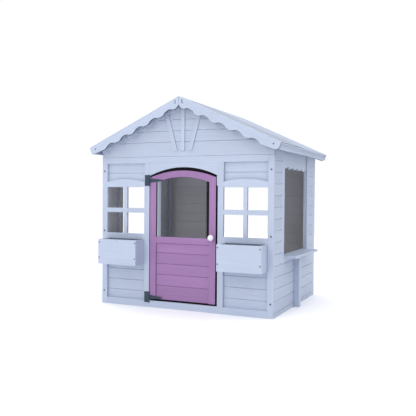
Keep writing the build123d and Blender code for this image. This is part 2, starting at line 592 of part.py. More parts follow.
EAVE_X1 = X_EAVE - EAVE_STRIP_SET
EAVE_X0 = EAVE_X1 - EAVE_STRIP_W
EAVE_XR = EAVE_X1 - EAVE_REBATE
EAVE_FOOT_Z = roof_z(X_EAVE) - EAVE_DROP
with BuildPart() as eave_strips:
    for _, side in SIDES:
        for y0, y1 in ((Y_ROOF0, ROOF_SEAM_Y - FIT), (ROOF_SEAM_Y + FIT, Y_ROOF1)):
            prism(along(y1), [(side * x, z) for x, z in (
                (EAVE_X0, EAVE_FOOT_Z), (EAVE_X1, EAVE_FOOT_Z), (EAVE_X1, EAVE_FOOT_Z + EAVE_STRIP_H),
                (EAVE_XR, EAVE_FOOT_Z + EAVE_STRIP_H), (EAVE_XR, roof_z(EAVE_XR, ROOF_BOARD_T)),
                (EAVE_X0, roof_z(EAVE_X0, ROOF_BOARD_T)))], y1 - y0)
save(eave_strips, "eave_strips")

with BuildPart() as ridge_beam:
    half, foot = RIDGE_BEAM_W / 2, roof_z(0, ROOF_BOARD_T) - RIDGE_BEAM_H
    prism(along(Y_BACK_IN), [(-half, foot), (half, foot), (half, roof_z(half, ROOF_BOARD_T)),
                             (0, roof_z(0, ROOF_BOARD_T)), (-half, roof_z(half, ROOF_BOARD_T))],
          Y_BACK_IN - Y_FRONT_IN)
save(ridge_beam, "ridge_beam")


def scalloped_edge(side, notches):
    """A bargeboard's lower edge: a concave arc at each notch and a full arc at each lobe between."""
    ends = -BARGE_W + SCALLOP_LIP
    for n, notch in enumerate(notches):
        left, right = notch - SCALLOP_NOTCH_HALF, notch + SCALLOP_NOTCH_HALF
        ThreePointArc(on_slope(side, left, ends), on_slope(side, notch, -BARGE_NOTCH_W),
                      on_slope(side, right, ends))
        if n < len(notches) - 1:
            ThreePointArc(on_slope(side, right, ends), on_slope(side, notch + SCALLOP_PITCH / 2, -BARGE_W),
                          on_slope(side, left + SCALLOP_PITCH, ends))


def barge_outline(side):
    """A bargeboard's outline: scalloped below, square on top, its low corner rounded."""
    end_run, end_low = SLOPE_L + ROOF_EDGE_SET, -BARGE_END_W
    last = int((end_run - BARGE_END_R - SCALLOP_PITCH / 2 - SCALLOP_FIRST) / SCALLOP_PITCH)
    notches = [SCALLOP_FIRST + n * SCALLOP_PITCH for n in range(-1, last + 1)]
    start, stop = notches[0] - SCALLOP_NOTCH_HALF, notches[-1] + SCALLOP_NOTCH_HALF
    ends = -BARGE_W + SCALLOP_LIP
    round_mid = BARGE_END_R * (1 - sin(radians(45)))
    scalloped_edge(side, notches)
    Polyline(on_slope(side, start, ends), on_slope(side, start, 0), on_slope(side, SLOPE_L, 0),
             on_slope(side, end_run, end_low + BARGE_END_R))
    ThreePointArc(on_slope(side, end_run, end_low + BARGE_END_R),
                  on_slope(side, end_run - round_mid, end_low + round_mid),
                  on_slope(side, end_run - BARGE_END_R, end_low))
    Polyline(on_slope(side, end_run - BARGE_END_R, end_low),
             on_slope(side, stop + SCALLOP_PITCH / 2 - SCALLOP_NOTCH_HALF, -BARGE_W),
             on_slope(side, stop, ends))


for name, y_inner in (("front", Y_ROOF0), ("rear", Y_ROOF1 + BARGE_T)):
    with BuildPart() as bargeboards:
        for _, side in SIDES:
            with BuildSketch(along(y_inner)) as outline:
                with BuildLine():
                    barge_outline(side)
                make_face()
                with Locations((side * (MITRE + SLOPE_L / 2), RIDGE_Z)):
                    Rectangle(SLOPE_L, 2 * SLOPE_L, mode=Mode.INTERSECT)
                with BuildLine():
                    Polyline((0, RIDGE_Z - APEX_CUT_TOP), (side * APEX_CUT_HALF, RIDGE_Z - APEX_CUT_FOOT),
                             (0, RIDGE_Z - APEX_CUT_FOOT), close=True)
                make_face(mode=Mode.SUBTRACT)
            extrude(outline.sketch, amount=BARGE_T)
    save(bargeboards, f"bargeboards_{name}")

# ======================================================= door
DOOR_PANEL_Y = Y_FRONT + DOOR_PANEL_SET
with BuildPart() as door_stiles:
    for x0, x1 in ((DOOR_X0, DOOR_IN0), (DOOR_IN1, DOOR_X1)):
        block(x0, x1, Y_FRONT, DOOR_BACK, DOOR_FOOT_Z, DOOR_CROWN_Z)
    for x0, x1 in ((DOOR_IN0 - TONGUE - TONGUE_FIT, DOOR_IN0), (DOOR_IN1, DOOR_IN1 + TONGUE + TONGUE_FIT)):
        block(x0, x1, DOOR_PANEL_Y, DOOR_PANEL_Y + BOARD_T, DOOR_FOOT_Z, DOOR_MID_Z, mode=Mode.SUBTRACT)
    arched(DOOR_BACK, DOOR_T, DOOR_X0, DOOR_X1, DOOR_FOOT_Z, DOOR_SPRING_Z, DOOR_CROWN_Z,
           mode=Mode.INTERSECT)
save(door_stiles, "door_stiles")

with BuildPart() as door_middle_rail:
    block(DOOR_IN0, DOOR_IN1, Y_FRONT, DOOR_BACK, DOOR_MID_Z, DOOR_OPEN_Z)
save(door_middle_rail, "door_middle_rail")

with BuildPart() as door_arch_rail:
    arched(DOOR_BACK, DOOR_T, DOOR_X0, DOOR_X1, DOOR_SPRING_Z - DOOR_OPEN_SPRING, DOOR_SPRING_Z, DOOR_CROWN_Z)
    arched(DOOR_BACK, DOOR_T, DOOR_IN0, DOOR_IN1, DOOR_OPEN_Z, DOOR_SPRING_Z - DOOR_OPEN_SPRING,
           DOOR_CROWN_Z - DOOR_ARCH_RAIL_W, mode=Mode.SUBTRACT)
    block(DOOR_IN0, DOOR_IN1, Y_FRONT, DOOR_BACK, DOOR_OPEN_Z, DOOR_CROWN_Z, mode=Mode.INTERSECT)
save(door_arch_rail, "door_arch_rail")

with BuildPart() as door_boards:
    boards_along_x(DOOR_IN0 - TONGUE, DOOR_IN1 + TONGUE, DOOR_PANEL_Y, DOOR_PANEL_Y + BOARD_T,
                   DOOR_FOOT_Z, DOOR_MID_Z, joint=DOOR_FOOT_Z + DOOR_FIRST_BOARD)
save(door_boards, "door_boards")

KNOB_X = (DOOR_IN1 + DOOR_X1) / 2
KNOB_Z = DOOR_OPEN_Z + KNOB_RISE
with BuildPart() as door_knob:
    with BuildSketch(Plane(origin=(KNOB_X, Y_FRONT, KNOB_Z), x_dir=(1, 0, 0), z_dir=(0, 0, 1))):
        with BuildLine():
            neck, ball_r = KNOB_NECK_D / 2, KNOB_D / 2
            ball_y = -KNOB_NECK_L - (ball_r**2 - neck**2) ** 0.5
            Polyline((0, ball_y - ball_r), (0, 0), (neck, 0), (neck, -KNOB_NECK_L))
            ThreePointArc((neck, -KNOB_NECK_L), (ball_r, ball_y), (0, ball_y - ball_r))
        make_face()
    revolve(axis=Axis((KNOB_X, Y_FRONT, KNOB_Z), (0, 1, 0)))
save(door_knob, "door_knob")

with BuildPart() as knob_screw:
    fastener((KNOB_X, DOOR_BACK, KNOB_Z), (0, 1, 0), SCREW_HEAD_D, SCREW_HEAD_H,
             KNOB_SCREW_D, DOOR_T + KNOB_D / 2)
save(knob_screw, "knob_screw")

# The catch block narrows the latch gap. The door closes against the stops, which are on the
# frame's back: a strip behind each stile, an arched head between them and a bar at the sill.
with BuildPart() as door_catch:
    block(X_DOORWAY - CATCH_W, X_DOORWAY, Y_FRONT + CATCH_SET, Y_FRAME,
          DOORWAY_SPRING_Z - CATCH_H, DOORWAY_SPRING_Z)
save(door_catch, "door_catch")

STOP_X0, STOP_X1 = DOOR_IN0 - STOP_SET_HINGE, DOOR_IN1 - STOP_IN_LATCH
STOP_FOOT_Z, STOP_TOP_Z = BOTTOM_RAIL_H - STOP_RAIL_LAP, BELT_H - TOP_RAIL_H
STOP_SPRING_Z = DOOR_SPRING_Z - DOOR_OPEN_SPRING + STOP_SET_HEAD
STOP_CROWN_Z = DOOR_CROWN_Z - DOOR_ARCH_RAIL_W + STOP_SET_HEAD
with BuildPart() as door_stops:
    for x0, x1 in ((-X_LAP + FIT, STOP_X0), (STOP_X1, X_LAP - FIT)):
        block(x0, x1, Y_FRAME, Y_FRONT_IN, STOP_FOOT_Z, STOP_TOP_Z)
    block(STOP_X0 + FIT, STOP_X1 - FIT, Y_FRAME, Y_FRONT_IN, STOP_FOOT_Z, DOOR_FOOT_Z + STOP_FOOT_LAP)
    block(STOP_X0 + FIT, STOP_X1 - FIT, Y_FRAME, Y_FRONT_IN, STOP_SPRING_Z, STOP_TOP_Z)
    arched(Y_FRONT_IN, BOARD_T, STOP_X0 + FIT, STOP_X1 - FIT, DOORWAY_SPRING_Z - CATCH_H, STOP_SPRING_Z,
           STOP_CROWN_Z, mode=Mode.SUBTRACT)
    arched(DOOR_BACK + FIT, FIT, -X_DOORWAY, X_DOORWAY, BOTTOM_RAIL_H, DOORWAY_SPRING_Z,
           DOORWAY_CROWN_Z, mode=Mode.SUBTRACT)
    with Locations(Plane(origin=(KNOB_X, Y_FRAME, KNOB_Z), z_dir=(0, 1, 0))):
        Cylinder(KNOB_SCREW_POCKET / 2, BOARD_T, align=(Align.CENTER, Align.CENTER, Align.MIN),
                 mode=Mode.SUBTRACT)
save(door_stops, "door_stops")

# ======================================================= T-hinges
# The leaf and pin stay on the wall; the strap turns about the pin with the door.
with BuildPart() as hinge_leaves:
    root = STRAP_ROOT_H / 2 + KNUCKLE_GAP
    leaf_x1 = HINGE_X - KNUCKLE_R - KNUCKLE_GAP
    for z in HINGE_HEIGHTS:
        block(HINGE_X - LEAF_W, leaf_x1, Y_FRONT - HINGE_T, Y_FRONT, z - LEAF_H / 2, z + LEAF_H / 2)
        for z0, z1 in ((z - LEAF_H / 2, z - root), (z + root, z + LEAF_H / 2)):
            block(leaf_x1, HINGE_X, Y_FRONT - HINGE_T, Y_FRONT, z0, z1)
            with Locations((HINGE_X, HINGE_Y, (z0 + z1) / 2)):
                Cylinder(KNUCKLE_R, z1 - z0)
        with Locations((HINGE_X, HINGE_Y, z)):
            Cylinder(PIN_R, LEAF_H, mode=Mode.SUBTRACT)
save(hinge_leaves, "hinge_leaves")

with BuildPart() as hinge_straps:
    root, tip = STRAP_ROOT_H / 2, STRAP_TIP_H / 2
    neck = HINGE_X + STRAP_L - tip
    for z in HINGE_HEIGHTS:
        with Locations((HINGE_X, HINGE_Y, z)):
            Cylinder(KNUCKLE_R, STRAP_ROOT_H)
        with BuildSketch(along(Y_FRONT)):
            with BuildLine():
                Polyline((neck, z - tip), (HINGE_X, z - root), (HINGE_X, z + root), (neck, z + tip))
                ThreePointArc((neck, z + tip), (neck + tip, z), (neck, z - tip))
            make_face()
        extrude(amount=HINGE_T)
        with Locations((HINGE_X, HINGE_Y, z)):
            Cylinder(PIN_R + PIN_CLEAR, STRAP_ROOT_H, mode=Mode.SUBTRACT)
save(hinge_straps, "hinge_straps")

with BuildPart() as hinge_pins:
    for z in HINGE_HEIGHTS:
        with Locations((HINGE_X, HINGE_Y, z)):
            Cylinder(PIN_R, LEAF_H)
        for end in (-1, 1):
            with Locations((HINGE_X, HINGE_Y, z + end * (LEAF_H + PIN_CAP_H) / 2)):
                Cylinder(PIN_CAP_D / 2, PIN_CAP_H)
save(hinge_pins, "hinge_pins")

with BuildPart() as hinge_leaf_screws:
    for z in HINGE_HEIGHTS:
        for dx, dz in LEAF_SCREWS:
            fastener((HINGE_X + dx, Y_FRONT - HINGE_T, z + dz), (0, -1, 0),
                     HINGE_SCREW_HEAD_D, HINGE_SCREW_HEAD_H, HINGE_SCREW_D, HINGE_SCREW_L)
save(hinge_leaf_screws, "hinge_leaf_screws")

with BuildPart() as hinge_strap_screws:
    for z in HINGE_HEIGHTS:
        for dx in STRAP_SCREWS:
            fastener((HINGE_X + dx, Y_FRONT - HINGE_T, z), (0, -1, 0),
                     HINGE_SCREW_HEAD_D, HINGE_SCREW_HEAD_H, HINGE_SCREW_D, HINGE_SCREW_L)
save(hinge_strap_screws, "hinge_strap_screws")

# ======================================================= fasteners
with BuildPart() as corner_bolts:
    for _, side in SIDES:
        for z in (BOLT_LOW_Z, BOLT_MID_Z, BELT_H - BOLT_TOP_DROP):
            for y, out in ((Y_FRONT, -1), (Y_BACK, 1)):
                fastener((side * (X_OUT - BOLT_EDGE), y, z), (0, out, 0),
                         BOLT_HEAD_D, BOLT_HEAD_H, BOLT_D, BOLT_L)
save(corner_bolts, "corner_bolts")

BARGE_FOOT_RUN, BARGE_FOOT_DROP = BARGE_FOOT_SCREW
with BuildPart() as bargeboard_screws:
    for _, side in SIDES:
        for run, drop in (*BARGE_TOP_SCREWS, (SLOPE_L - BARGE_FOOT_RUN, BARGE_FOOT_DROP)):
            x, z = on_slope(side, run, -drop)
            for y, out in ((Y_BARGE, -1), (Y_ROOF1 + BARGE_T, 1)):
                fastener((x, y, z), (0, out, 0), SCREW_HEAD_D, SCREW_HEAD_H, SCREW_D, BARGE_T + BATTEN_W / 2)
save(bargeboard_screws, "bargeboard_screws")
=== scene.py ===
"""A child's painted wooden playhouse: its timbers, hinges, knob and fixings, finished and lit.

Lengths are in metres, in the frame's own axes: +X to the right of a person facing the front,
+Y to the back and +Z up. Each piece is made from the frame's node, and lies where the node lies.
"""

from __future__ import annotations

import json
import logging
import math
import random
from dataclasses import dataclass
from enum import Enum
from typing import Any, Sequence

import bmesh
import bpy
from mathutils import Matrix, Vector


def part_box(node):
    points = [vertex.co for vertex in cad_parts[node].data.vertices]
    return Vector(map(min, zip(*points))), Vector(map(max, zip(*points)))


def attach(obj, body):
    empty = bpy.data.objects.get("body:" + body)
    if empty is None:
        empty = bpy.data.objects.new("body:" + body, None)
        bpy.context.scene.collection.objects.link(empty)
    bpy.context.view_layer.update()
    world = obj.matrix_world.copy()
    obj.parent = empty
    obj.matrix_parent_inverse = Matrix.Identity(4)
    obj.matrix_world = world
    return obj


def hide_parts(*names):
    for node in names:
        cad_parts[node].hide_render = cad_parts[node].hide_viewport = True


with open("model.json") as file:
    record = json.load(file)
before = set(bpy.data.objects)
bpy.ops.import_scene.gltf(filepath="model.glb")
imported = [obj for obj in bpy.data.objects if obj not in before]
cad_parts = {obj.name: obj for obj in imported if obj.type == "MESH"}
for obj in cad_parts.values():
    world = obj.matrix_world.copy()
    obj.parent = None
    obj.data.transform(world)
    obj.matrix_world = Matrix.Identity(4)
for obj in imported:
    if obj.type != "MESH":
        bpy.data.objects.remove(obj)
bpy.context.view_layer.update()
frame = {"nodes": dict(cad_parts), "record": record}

log = logging.getLogger("playhouse")

MM = 0.001
WELD = 0.01 * MM           # corners closer than this are one corner
FLAT = math.radians(0.6)   # faces that turn less than this are one face
CREASE = math.radians(24)  # an edge that turns more than this is an arris
ACROSS = 0.8               # a face whose normal is this far along the board is end grain
GRAIN = "grain"            # attribute: metres along the board, metres across it, the board's number
ARRIS = "arris"            # attribute: 1 on a rounded edge
END_GRAIN = "end_grain"    # attribute: 1 on a sawn end
CABIN_AND_GAP_SHADE = "cabin_and_gap_shade"          # attribute: 1 on a face turned into the cabin or into the door's gaps, which takes painted shade
PAINTED_SHADE = "painted_shade"        # attribute: how much painted shade, in a darker grey, a face of the roof has, 0 to 1

SAME_WAY = 0.99            # two unit vectors with a product past this point the same way
SHARE_OF_NOISE = (0.3, 0.7)  # most of a noise's values lie between these
BOARD_NUMBERS = 90.0       # the boards' numbers lie between 0 and this

SHELL_HALF = 589.5 * MM    # half the cabin's width inside, between the side walls' boards
CABIN_HALF = 571.0 * MM    # and between its posts
CABIN_FRONT = 9.5 * MM     # y of the cabin's front, inside
CABIN_BACK = 944.5 * MM    # and of its back
ROOF_UNDER = 1323.0 * MM   # z of the roof's underside, at the ridge
PITCH = math.radians(24.6)
ROOF_FALL = math.tan(PITCH)
OFF_FACE = 4.0 * MM        # how far off a face takes_painted_shade() looks
# The door's nodes. Their backs are seen when it opens, so only the stiles' edges take the painted shade
# of the door's gaps.
DOOR_LEAF = ("door_stiles", "door_middle_rail", "door_arch_rail", "door_boards", "door_knob")


# ---------------------------------------------------------------- shader helpers
def linear(colour: str) -> tuple[float, float, float, float]:
    """Turn an sRGB hex colour into the linear one that a shader takes.

    Args:
        colour: Six hex digits after a hash sign.

    Returns:
        Red, green, blue and an alpha of 1.
    """
    shares = [int(colour[i:i + 2], 16) / 255 for i in (1, 3, 5)]
    red, green, blue = (s / 12.92 if s <= 0.04045 else ((s + 0.055) / 1.055) ** 2.4 for s in shares)
    return red, green, blue, 1.0


def add(tree: bpy.types.NodeTree, kind: str, settings: dict[Any, Any] | None = None,
        links: dict[Any, bpy.types.NodeSocket] | None = None) -> bpy.types.Node:
    """Add one node with its settings and links.

    Args:
        tree: The node tree that takes it.
        kind: The node's type, such as ShaderNodeTexNoise.
        settings: Property names, or input names or numbers, and their values.
        links: Input names or numbers, and the outputs that feed them.

    Returns:
        The new node.
    """
    node = tree.nodes.new(kind)
    for key, value in (settings or {}).items():
        if isinstance(key, str) and hasattr(node, key):
            setattr(node, key, value)
        else:
            node.inputs[key].default_value = value
    for key, output in (links or {}).items():
        tree.links.new(output, node.inputs[key])
    return node


def blank_material(name: str) -> tuple[bpy.types.Material, bpy.types.NodeTree]:
    """Make a material with an empty node tree.

    Args:
        name: The finish's name.

    Returns:
        The material and its tree.
    """
    material = bpy.data.materials.new(name)
    material.use_nodes = True
    material.node_tree.nodes.clear()
    return material, material.node_tree


def blend(tree: bpy.types.NodeTree, share: Any, first: Any, second: Any) -> bpy.types.NodeSocket:
    """Mix two colours, each of them a hex colour or another node's output.

    Args:
        tree: The node tree.
        share: How much of the second colour, a number or an output.
        first: The colour at share 0.
        second: The colour at share 1.

    Returns:
        The mixed colour's output.
    """
    settings: dict[Any, Any] = {"data_type": "RGBA"}
    links: dict[Any, bpy.types.NodeSocket] = {}
    for key, value in ((0, share), (6, first), (7, second)):
        if isinstance(value, bpy.types.NodeSocket):
            links[key] = value
        else:
            settings[key] = linear(value) if isinstance(value, str) else value
    return add(tree, "ShaderNodeMix", settings, links).outputs[2]


def spread(tree: bpy.types.NodeTree, value: bpy.types.NodeSocket, low: float, high: float,
           to_low: float = 0.0, to_high: float = 1.0) -> bpy.types.NodeSocket:
    """Map a range of a value to another range, smoothly and within its ends.

    Args:
        tree: The node tree.
        value: The output to map.
        low: The value that gives to_low.
        high: The value that gives to_high.
        to_low: The result at low.
        to_high: The result at high.

    Returns:
        The mapped value's output.
    """
    settings = {"interpolation_type": "SMOOTHSTEP", 1: low, 2: high, 3: to_low, 4: to_high}
    return add(tree, "ShaderNodeMapRange", settings, {0: value}).outputs[0]


def compute(tree: bpy.types.NodeTree, operation: str, *terms: Any) -> bpy.types.NodeSocket:
    """Do one operation on one or two terms.

    Args:
        tree: The node tree.
        operation: The Math node's operation.
        terms: Numbers or outputs.

    Returns:
        The result's output.
    """
    settings: dict[Any, Any] = {"operation": operation}
    links: dict[Any, bpy.types.NodeSocket] = {}
    for key, value in enumerate(terms):
        (links if isinstance(value, bpy.types.NodeSocket) else settings)[key] = value
    return add(tree, "ShaderNodeMath", settings, links).outputs[0]


# ---------------------------------------------------------------- finishes
@dataclass(frozen=True)
class PaintedPine:
    """Acrylic paint brushed on planed or turned wood.

    The paint hides the wood's colour and not its relief: the harder late wood stands up in long
    ridges, the brush leaves finer lines along the board, and a knot shows as a dull round stain.
    """

    name: str
    paint: str                     # dry film
    hollow: str                    # film in the soft grain, where it sinks and looks darker
    stain: str                     # film over a knot
    edge: str                      # lighter film over an arris: partly paint drawn thin there, partly a painted highlight where the edge catches light
    end: str                       # sawn end, which drinks the paint
    cabin_and_gap_shade: str                    # painted shade: a greyer colour inside the cabin, where the light is dimmer and warmer, and a darker one on the door stiles' edges in its gaps
    shade_grey: str = "#4E5563"          # darker grey chosen for the painted shade on the roof's panels, in its joints and under its scallops
    roughness: float = 0.5
    gloss: float = 0.5             # strength of the reflection
    ior: float = 1.47
    tone: float = 0.035            # how far one board differs from the next
    hollow_share: float = 0.3      # how much of each colour shows where it is strongest
    stain_share: float = 0.55
    edge_highlight_share: float = 0.35
    end_share: float = 0.5
    soft_grain: tuple[float, float] = (0.62, 0.36)  # relief where the hollow colour starts and is full
    sheen_range: tuple[float, float] = (-0.05, 0.07)  # change in roughness over the film
    knot_dullness: float = 0.12    # roughness that a knot adds
    ridge_mm: float = 4.5          # spacing of the ridges across the board
    ridge_length_mm: float = 260.0
    # A brush leaves lines about 0.5 mm apart. They are drawn three times as coarse, to show.
    brush_mm: float = 1.5
    brush_length_mm: float = 140.0
    knot_cell_mm: float = 210.0    # spacing of the knots
    knot_mm: float = 11.0          # radius of a knot
    knot_rim: tuple[float, float] = (0.5, 1.6)  # where its stain starts to fade and is gone, in radii
    cloud_mm: float = 330.0        # slow change in the film's thickness
    relief_mm: float = 0.35
    relief_strength: float = 0.6
    brush_rise: float = 0.35       # height of the brush's lines beside the ridges
    knot_rise: float = 0.8         # and of the knots

    def make(self) -> bpy.types.Material:
        """Build the finish as a material."""
        material, tree = blank_material(self.name)
        grain = add(tree, "ShaderNodeAttribute", {"attribute_name": GRAIN}).outputs["Vector"]
        ridges = self.stretched(tree, grain, self.ridge_length_mm, self.ridge_mm, 3.0, 0.9)
        brushed = self.stretched(tree, grain, self.brush_length_mm, self.brush_mm, 2.0, 0.2)
        knots = self.knots(tree, grain)
        clouds = self.clouds(tree)
        colour = self.colour(tree, grain, ridges, knots, clouds)
        lines = compute(tree, "MULTIPLY", brushed, self.brush_rise)
        grained = compute(tree, "ADD", ridges, lines)
        height = compute(tree, "ADD", grained, compute(tree, "MULTIPLY", knots, self.knot_rise))
        relief = add(tree, "ShaderNodeBump",
                     {"Strength": self.relief_strength, "Distance": self.relief_mm * MM},
                     {"Height": height})
        finest, dullest = (self.roughness + change for change in self.sheen_range)
        sheen = spread(tree, clouds, *SHARE_OF_NOISE, finest, dullest)
        dull = compute(tree, "ADD", sheen, compute(tree, "MULTIPLY", knots, self.knot_dullness))
        surface = add(tree, "ShaderNodeBsdfPrincipled",
                      {"IOR": self.ior, "Specular IOR Level": self.gloss},
                      {"Base Color": colour, "Roughness": dull, "Normal": relief.outputs[0]})
        add(tree, "ShaderNodeOutputMaterial", {}, {"Surface": surface.outputs[0]})
        return material

    def stretched(self, tree: bpy.types.NodeTree, grain: bpy.types.NodeSocket, length_mm: float,
                  width_mm: float, detail: float, waver: float) -> bpy.types.NodeSocket:
        """Noise drawn out along the board.

        Args:
            tree: The node tree.
            grain: The board's own coordinates.
            length_mm: Length of a streak.
            width_mm: Spacing of the streaks.
            detail: Octaves of noise.
            waver: How far the streaks wander.

        Returns:
            The noise's output, from 0 to 1.
        """
        scale = (1 / (length_mm * MM), 1 / (width_mm * MM), 1.0)
        drawn = add(tree, "ShaderNodeMapping", {"Scale": scale}, {"Vector": grain})
        return add(tree, "ShaderNodeTexNoise", {"Scale": 1.0, "Detail": detail, "Distortion": waver},
                   {"Vector": drawn.outputs[0]}).outputs[0]

    def knots(self, tree: bpy.types.NodeTree, grain: bpy.types.NodeSocket) -> bpy.types.NodeSocket:
        """Round spots, a few to each board, from 0 to 1.

        Args:
            tree: The node tree.
            grain: The board's own coordinates.

        Returns:
            The spots' output.
        """
        cell = 1 / (self.knot_cell_mm * MM)
        placed = add(tree, "ShaderNodeMapping", {"Scale": (cell, cell, 1.0)}, {"Vector": grain})
        cells = add(tree, "ShaderNodeTexVoronoi", {"Scale": 1.0}, {"Vector": placed.outputs[0]})
        heart, fade = (share * self.knot_mm / self.knot_cell_mm for share in self.knot_rim)
        return spread(tree, cells.outputs["Distance"], heart, fade, 1.0, 0.0)

    def clouds(self, tree: bpy.types.NodeTree) -> bpy.types.NodeSocket:
        """Slow change over the whole object, from 0 to 1."""
        place = add(tree, "ShaderNodeTexCoord").outputs["Object"]
        return add(tree, "ShaderNodeTexNoise", {"Scale": 1 / (self.cloud_mm * MM), "Detail": 2.0},
                   {"Vector": place}).outputs[0]

    def colour(self, tree: bpy.types.NodeTree, grain: bpy.types.NodeSocket,
               ridges: bpy.types.NodeSocket, knots: bpy.types.NodeSocket,
               clouds: bpy.types.NodeSocket) -> bpy.types.NodeSocket:
        """Colour of the film, board by board.

        Args:
            tree: The node tree.
            grain: The board's own coordinates.
            ridges: The grain's relief.
            knots: The knots' spots.
            clouds: The film's slow change.

        Returns:
            The colour's output.
        """
        sunk = compute(tree, "MULTIPLY", spread(tree, ridges, *self.soft_grain), self.hollow_share)
        film = blend(tree, sunk, self.paint, self.hollow)
        film = blend(tree, compute(tree, "MULTIPLY", knots, self.stain_share), film, self.stain)
        # Over an arris the lighter colour is partly a painted highlight. Inside the cabin, in the
        # door's gaps, and on the roof's darker grey the colour is painted shade.
        for attribute, share, over in ((ARRIS, self.edge_highlight_share, self.edge),
                                       (END_GRAIN, self.end_share, self.end),
                                       (CABIN_AND_GAP_SHADE, 1.0, self.cabin_and_gap_shade), (PAINTED_SHADE, 1.0, self.shade_grey)):
            written = add(tree, "ShaderNodeAttribute", {"attribute_name": attribute}).outputs["Fac"]
            film = blend(tree, compute(tree, "MULTIPLY", written, share), film, over)
        number = add(tree, "ShaderNodeSeparateXYZ", {}, {0: grain}).outputs[2]
        drawn = add(tree, "ShaderNodeTexWhiteNoise", {"noise_dimensions": "1D"}, {"W": number})
        board = spread(tree, drawn.outputs["Value"], 0.0, 1.0, 1 - self.tone, 1 + self.tone)
        slow = spread(tree, clouds, *SHARE_OF_NOISE, 1 - self.tone / 2, 1 + self.tone / 2)
        level = compute(tree, "MULTIPLY", board, slow)
        return add(tree, "ShaderNodeHueSaturation", {}, {"Value": level, "Color": film}).outputs[0]


@dataclass(frozen=True)
class CoatedSteel:
    """Steel with a satin powder coat, or with a dull plating.

    The coat has a fine orange peel and patches of dust, and wears to a paler grey on its edges.
    """

    name: str
    coat: str
    dust: str
    worn: str
    roughness: float = 0.42
    metallic: float = 0.0
    # Orange peel is about 0.5 mm across. It is drawn twice as coarse, to show.
    peel_mm: float = 1.0
    patch_mm: float = 14.0         # size of a patch of dust or wear
    relief_mm: float = 0.03
    relief_strength: float = 0.5
    dust_range: tuple[float, float] = (0.5, 0.75)  # patches where the dust starts and is full
    wear_range: tuple[float, float] = (0.35, 0.6)
    dust_share: float = 0.45       # how much of each colour shows where it is strongest
    wear_share: float = 0.7
    sheen_range: tuple[float, float] = (-0.06, 0.14)  # change in roughness over the coat

    def make(self) -> bpy.types.Material:
        """Build the finish as a material."""
        material, tree = blank_material(self.name)
        place = add(tree, "ShaderNodeTexCoord").outputs["Object"]
        peel = add(tree, "ShaderNodeTexNoise", {"Scale": 1 / (self.peel_mm * MM), "Detail": 2.0},
                   {"Vector": place}).outputs[0]
        patches = add(tree, "ShaderNodeTexNoise", {"Scale": 1 / (self.patch_mm * MM), "Detail": 5.0},
                      {"Vector": place}).outputs[0]
        dusty = compute(tree, "MULTIPLY", spread(tree, patches, *self.dust_range), self.dust_share)
        colour = blend(tree, dusty, self.coat, self.dust)
        arris = add(tree, "ShaderNodeAttribute", {"attribute_name": ARRIS}).outputs["Fac"]
        rubbed = compute(tree, "MULTIPLY", arris, spread(tree, patches, *self.wear_range))
        colour = blend(tree, compute(tree, "MULTIPLY", rubbed, self.wear_share), colour, self.worn)
        relief = add(tree, "ShaderNodeBump",
                     {"Strength": self.relief_strength, "Distance": self.relief_mm * MM},
                     {"Height": peel})
        finest, dullest = (self.roughness + change for change in self.sheen_range)
        sheen = spread(tree, patches, *SHARE_OF_NOISE, finest, dullest)
        surface = add(tree, "ShaderNodeBsdfPrincipled", {"Metallic": self.metallic},
                      {"Base Color": colour, "Roughness": sheen, "Normal": relief.outputs[0]})
        add(tree, "ShaderNodeOutputMaterial", {}, {"Surface": surface.outputs[0]})
        return material


@dataclass(frozen=True)
class MatteCard:
    """Seamless studio paper, plain and without gloss."""

    name: str
    colour: str
    roughness: float = 0.95

    def make(self) -> bpy.types.Material:
        """Build the finish as a material."""
        material, tree = blank_material(self.name)
        surface = add(tree, "ShaderNodeBsdfPrincipled",
                      {"Base Color": linear(self.colour), "Roughness": self.roughness,
                       "Specular IOR Level": 0.0})
        add(tree, "ShaderNodeOutputMaterial", {}, {"Surface": surface.outputs[0]})
        return material


# The colours for the cabin's inside and for the door's gaps are painted shade: a neutral grey for the
# white, near black for the mauve.
WHITE_PINE = PaintedPine(name="satin_white_paint_on_spruce", paint="#B0BBCF", hollow="#9CA7BE",
                         stain="#A9ADB8", edge="#CBD3E2", end="#A7B0C2", cabin_and_gap_shade="#B4B5BA")
MAUVE_PINE = PaintedPine(name="satin_mauve_paint_on_spruce", paint="#9470A0", hollow="#805C8D",
                         stain="#826086", edge="#A888B2", end="#886494", cabin_and_gap_shade="#1D1A22",
                         roughness=0.45, tone=0.05)
# Partly painted shade: the door stops' black also stands for the dark in the door's gaps.
BLACK_PINE = PaintedPine(name="matt_black_paint_on_spruce", paint="#17171B", hollow="#101013",
                         stain="#1B1A1C", edge="#2B2B30", end="#141417", cabin_and_gap_shade="#17171B",
                         roughness=0.62, gloss=0.1, tone=0.03)
KNOB_PAINT = PaintedPine(name="gloss_white_paint_on_turned_beech", paint="#E6E9F2", hollow="#D9DCE6",
                         stain="#DEDFE4", edge="#F4F4F6", end="#E0E2EA", cabin_and_gap_shade="#E6E9F2",
                         roughness=0.24, tone=0.0, relief_mm=0.08)
HINGE_COAT = CoatedSteel(name="slate_powder_coat_on_steel", coat="#253748", dust="#465868",
                         worn="#7D8A97")
DULL_ZINC = CoatedSteel(name="dull_zinc_plate_on_steel", coat="#262A32", dust="#1D2026", worn="#565B66",
                        roughness=0.5, metallic=0.3)
PALE_CARD = MatteCard(name="pale_studio_card", colour="#FAFAFC")

FINISHES = {
    "white_painted_wood": WHITE_PINE,
    "mauve_painted_wood": MAUVE_PINE,
    "black_painted_wood": BLACK_PINE,
    "knob_painted_wood": KNOB_PAINT,
    "dark_hinge_steel": HINGE_COAT,
    "grey_screw_steel": DULL_ZINC,
}


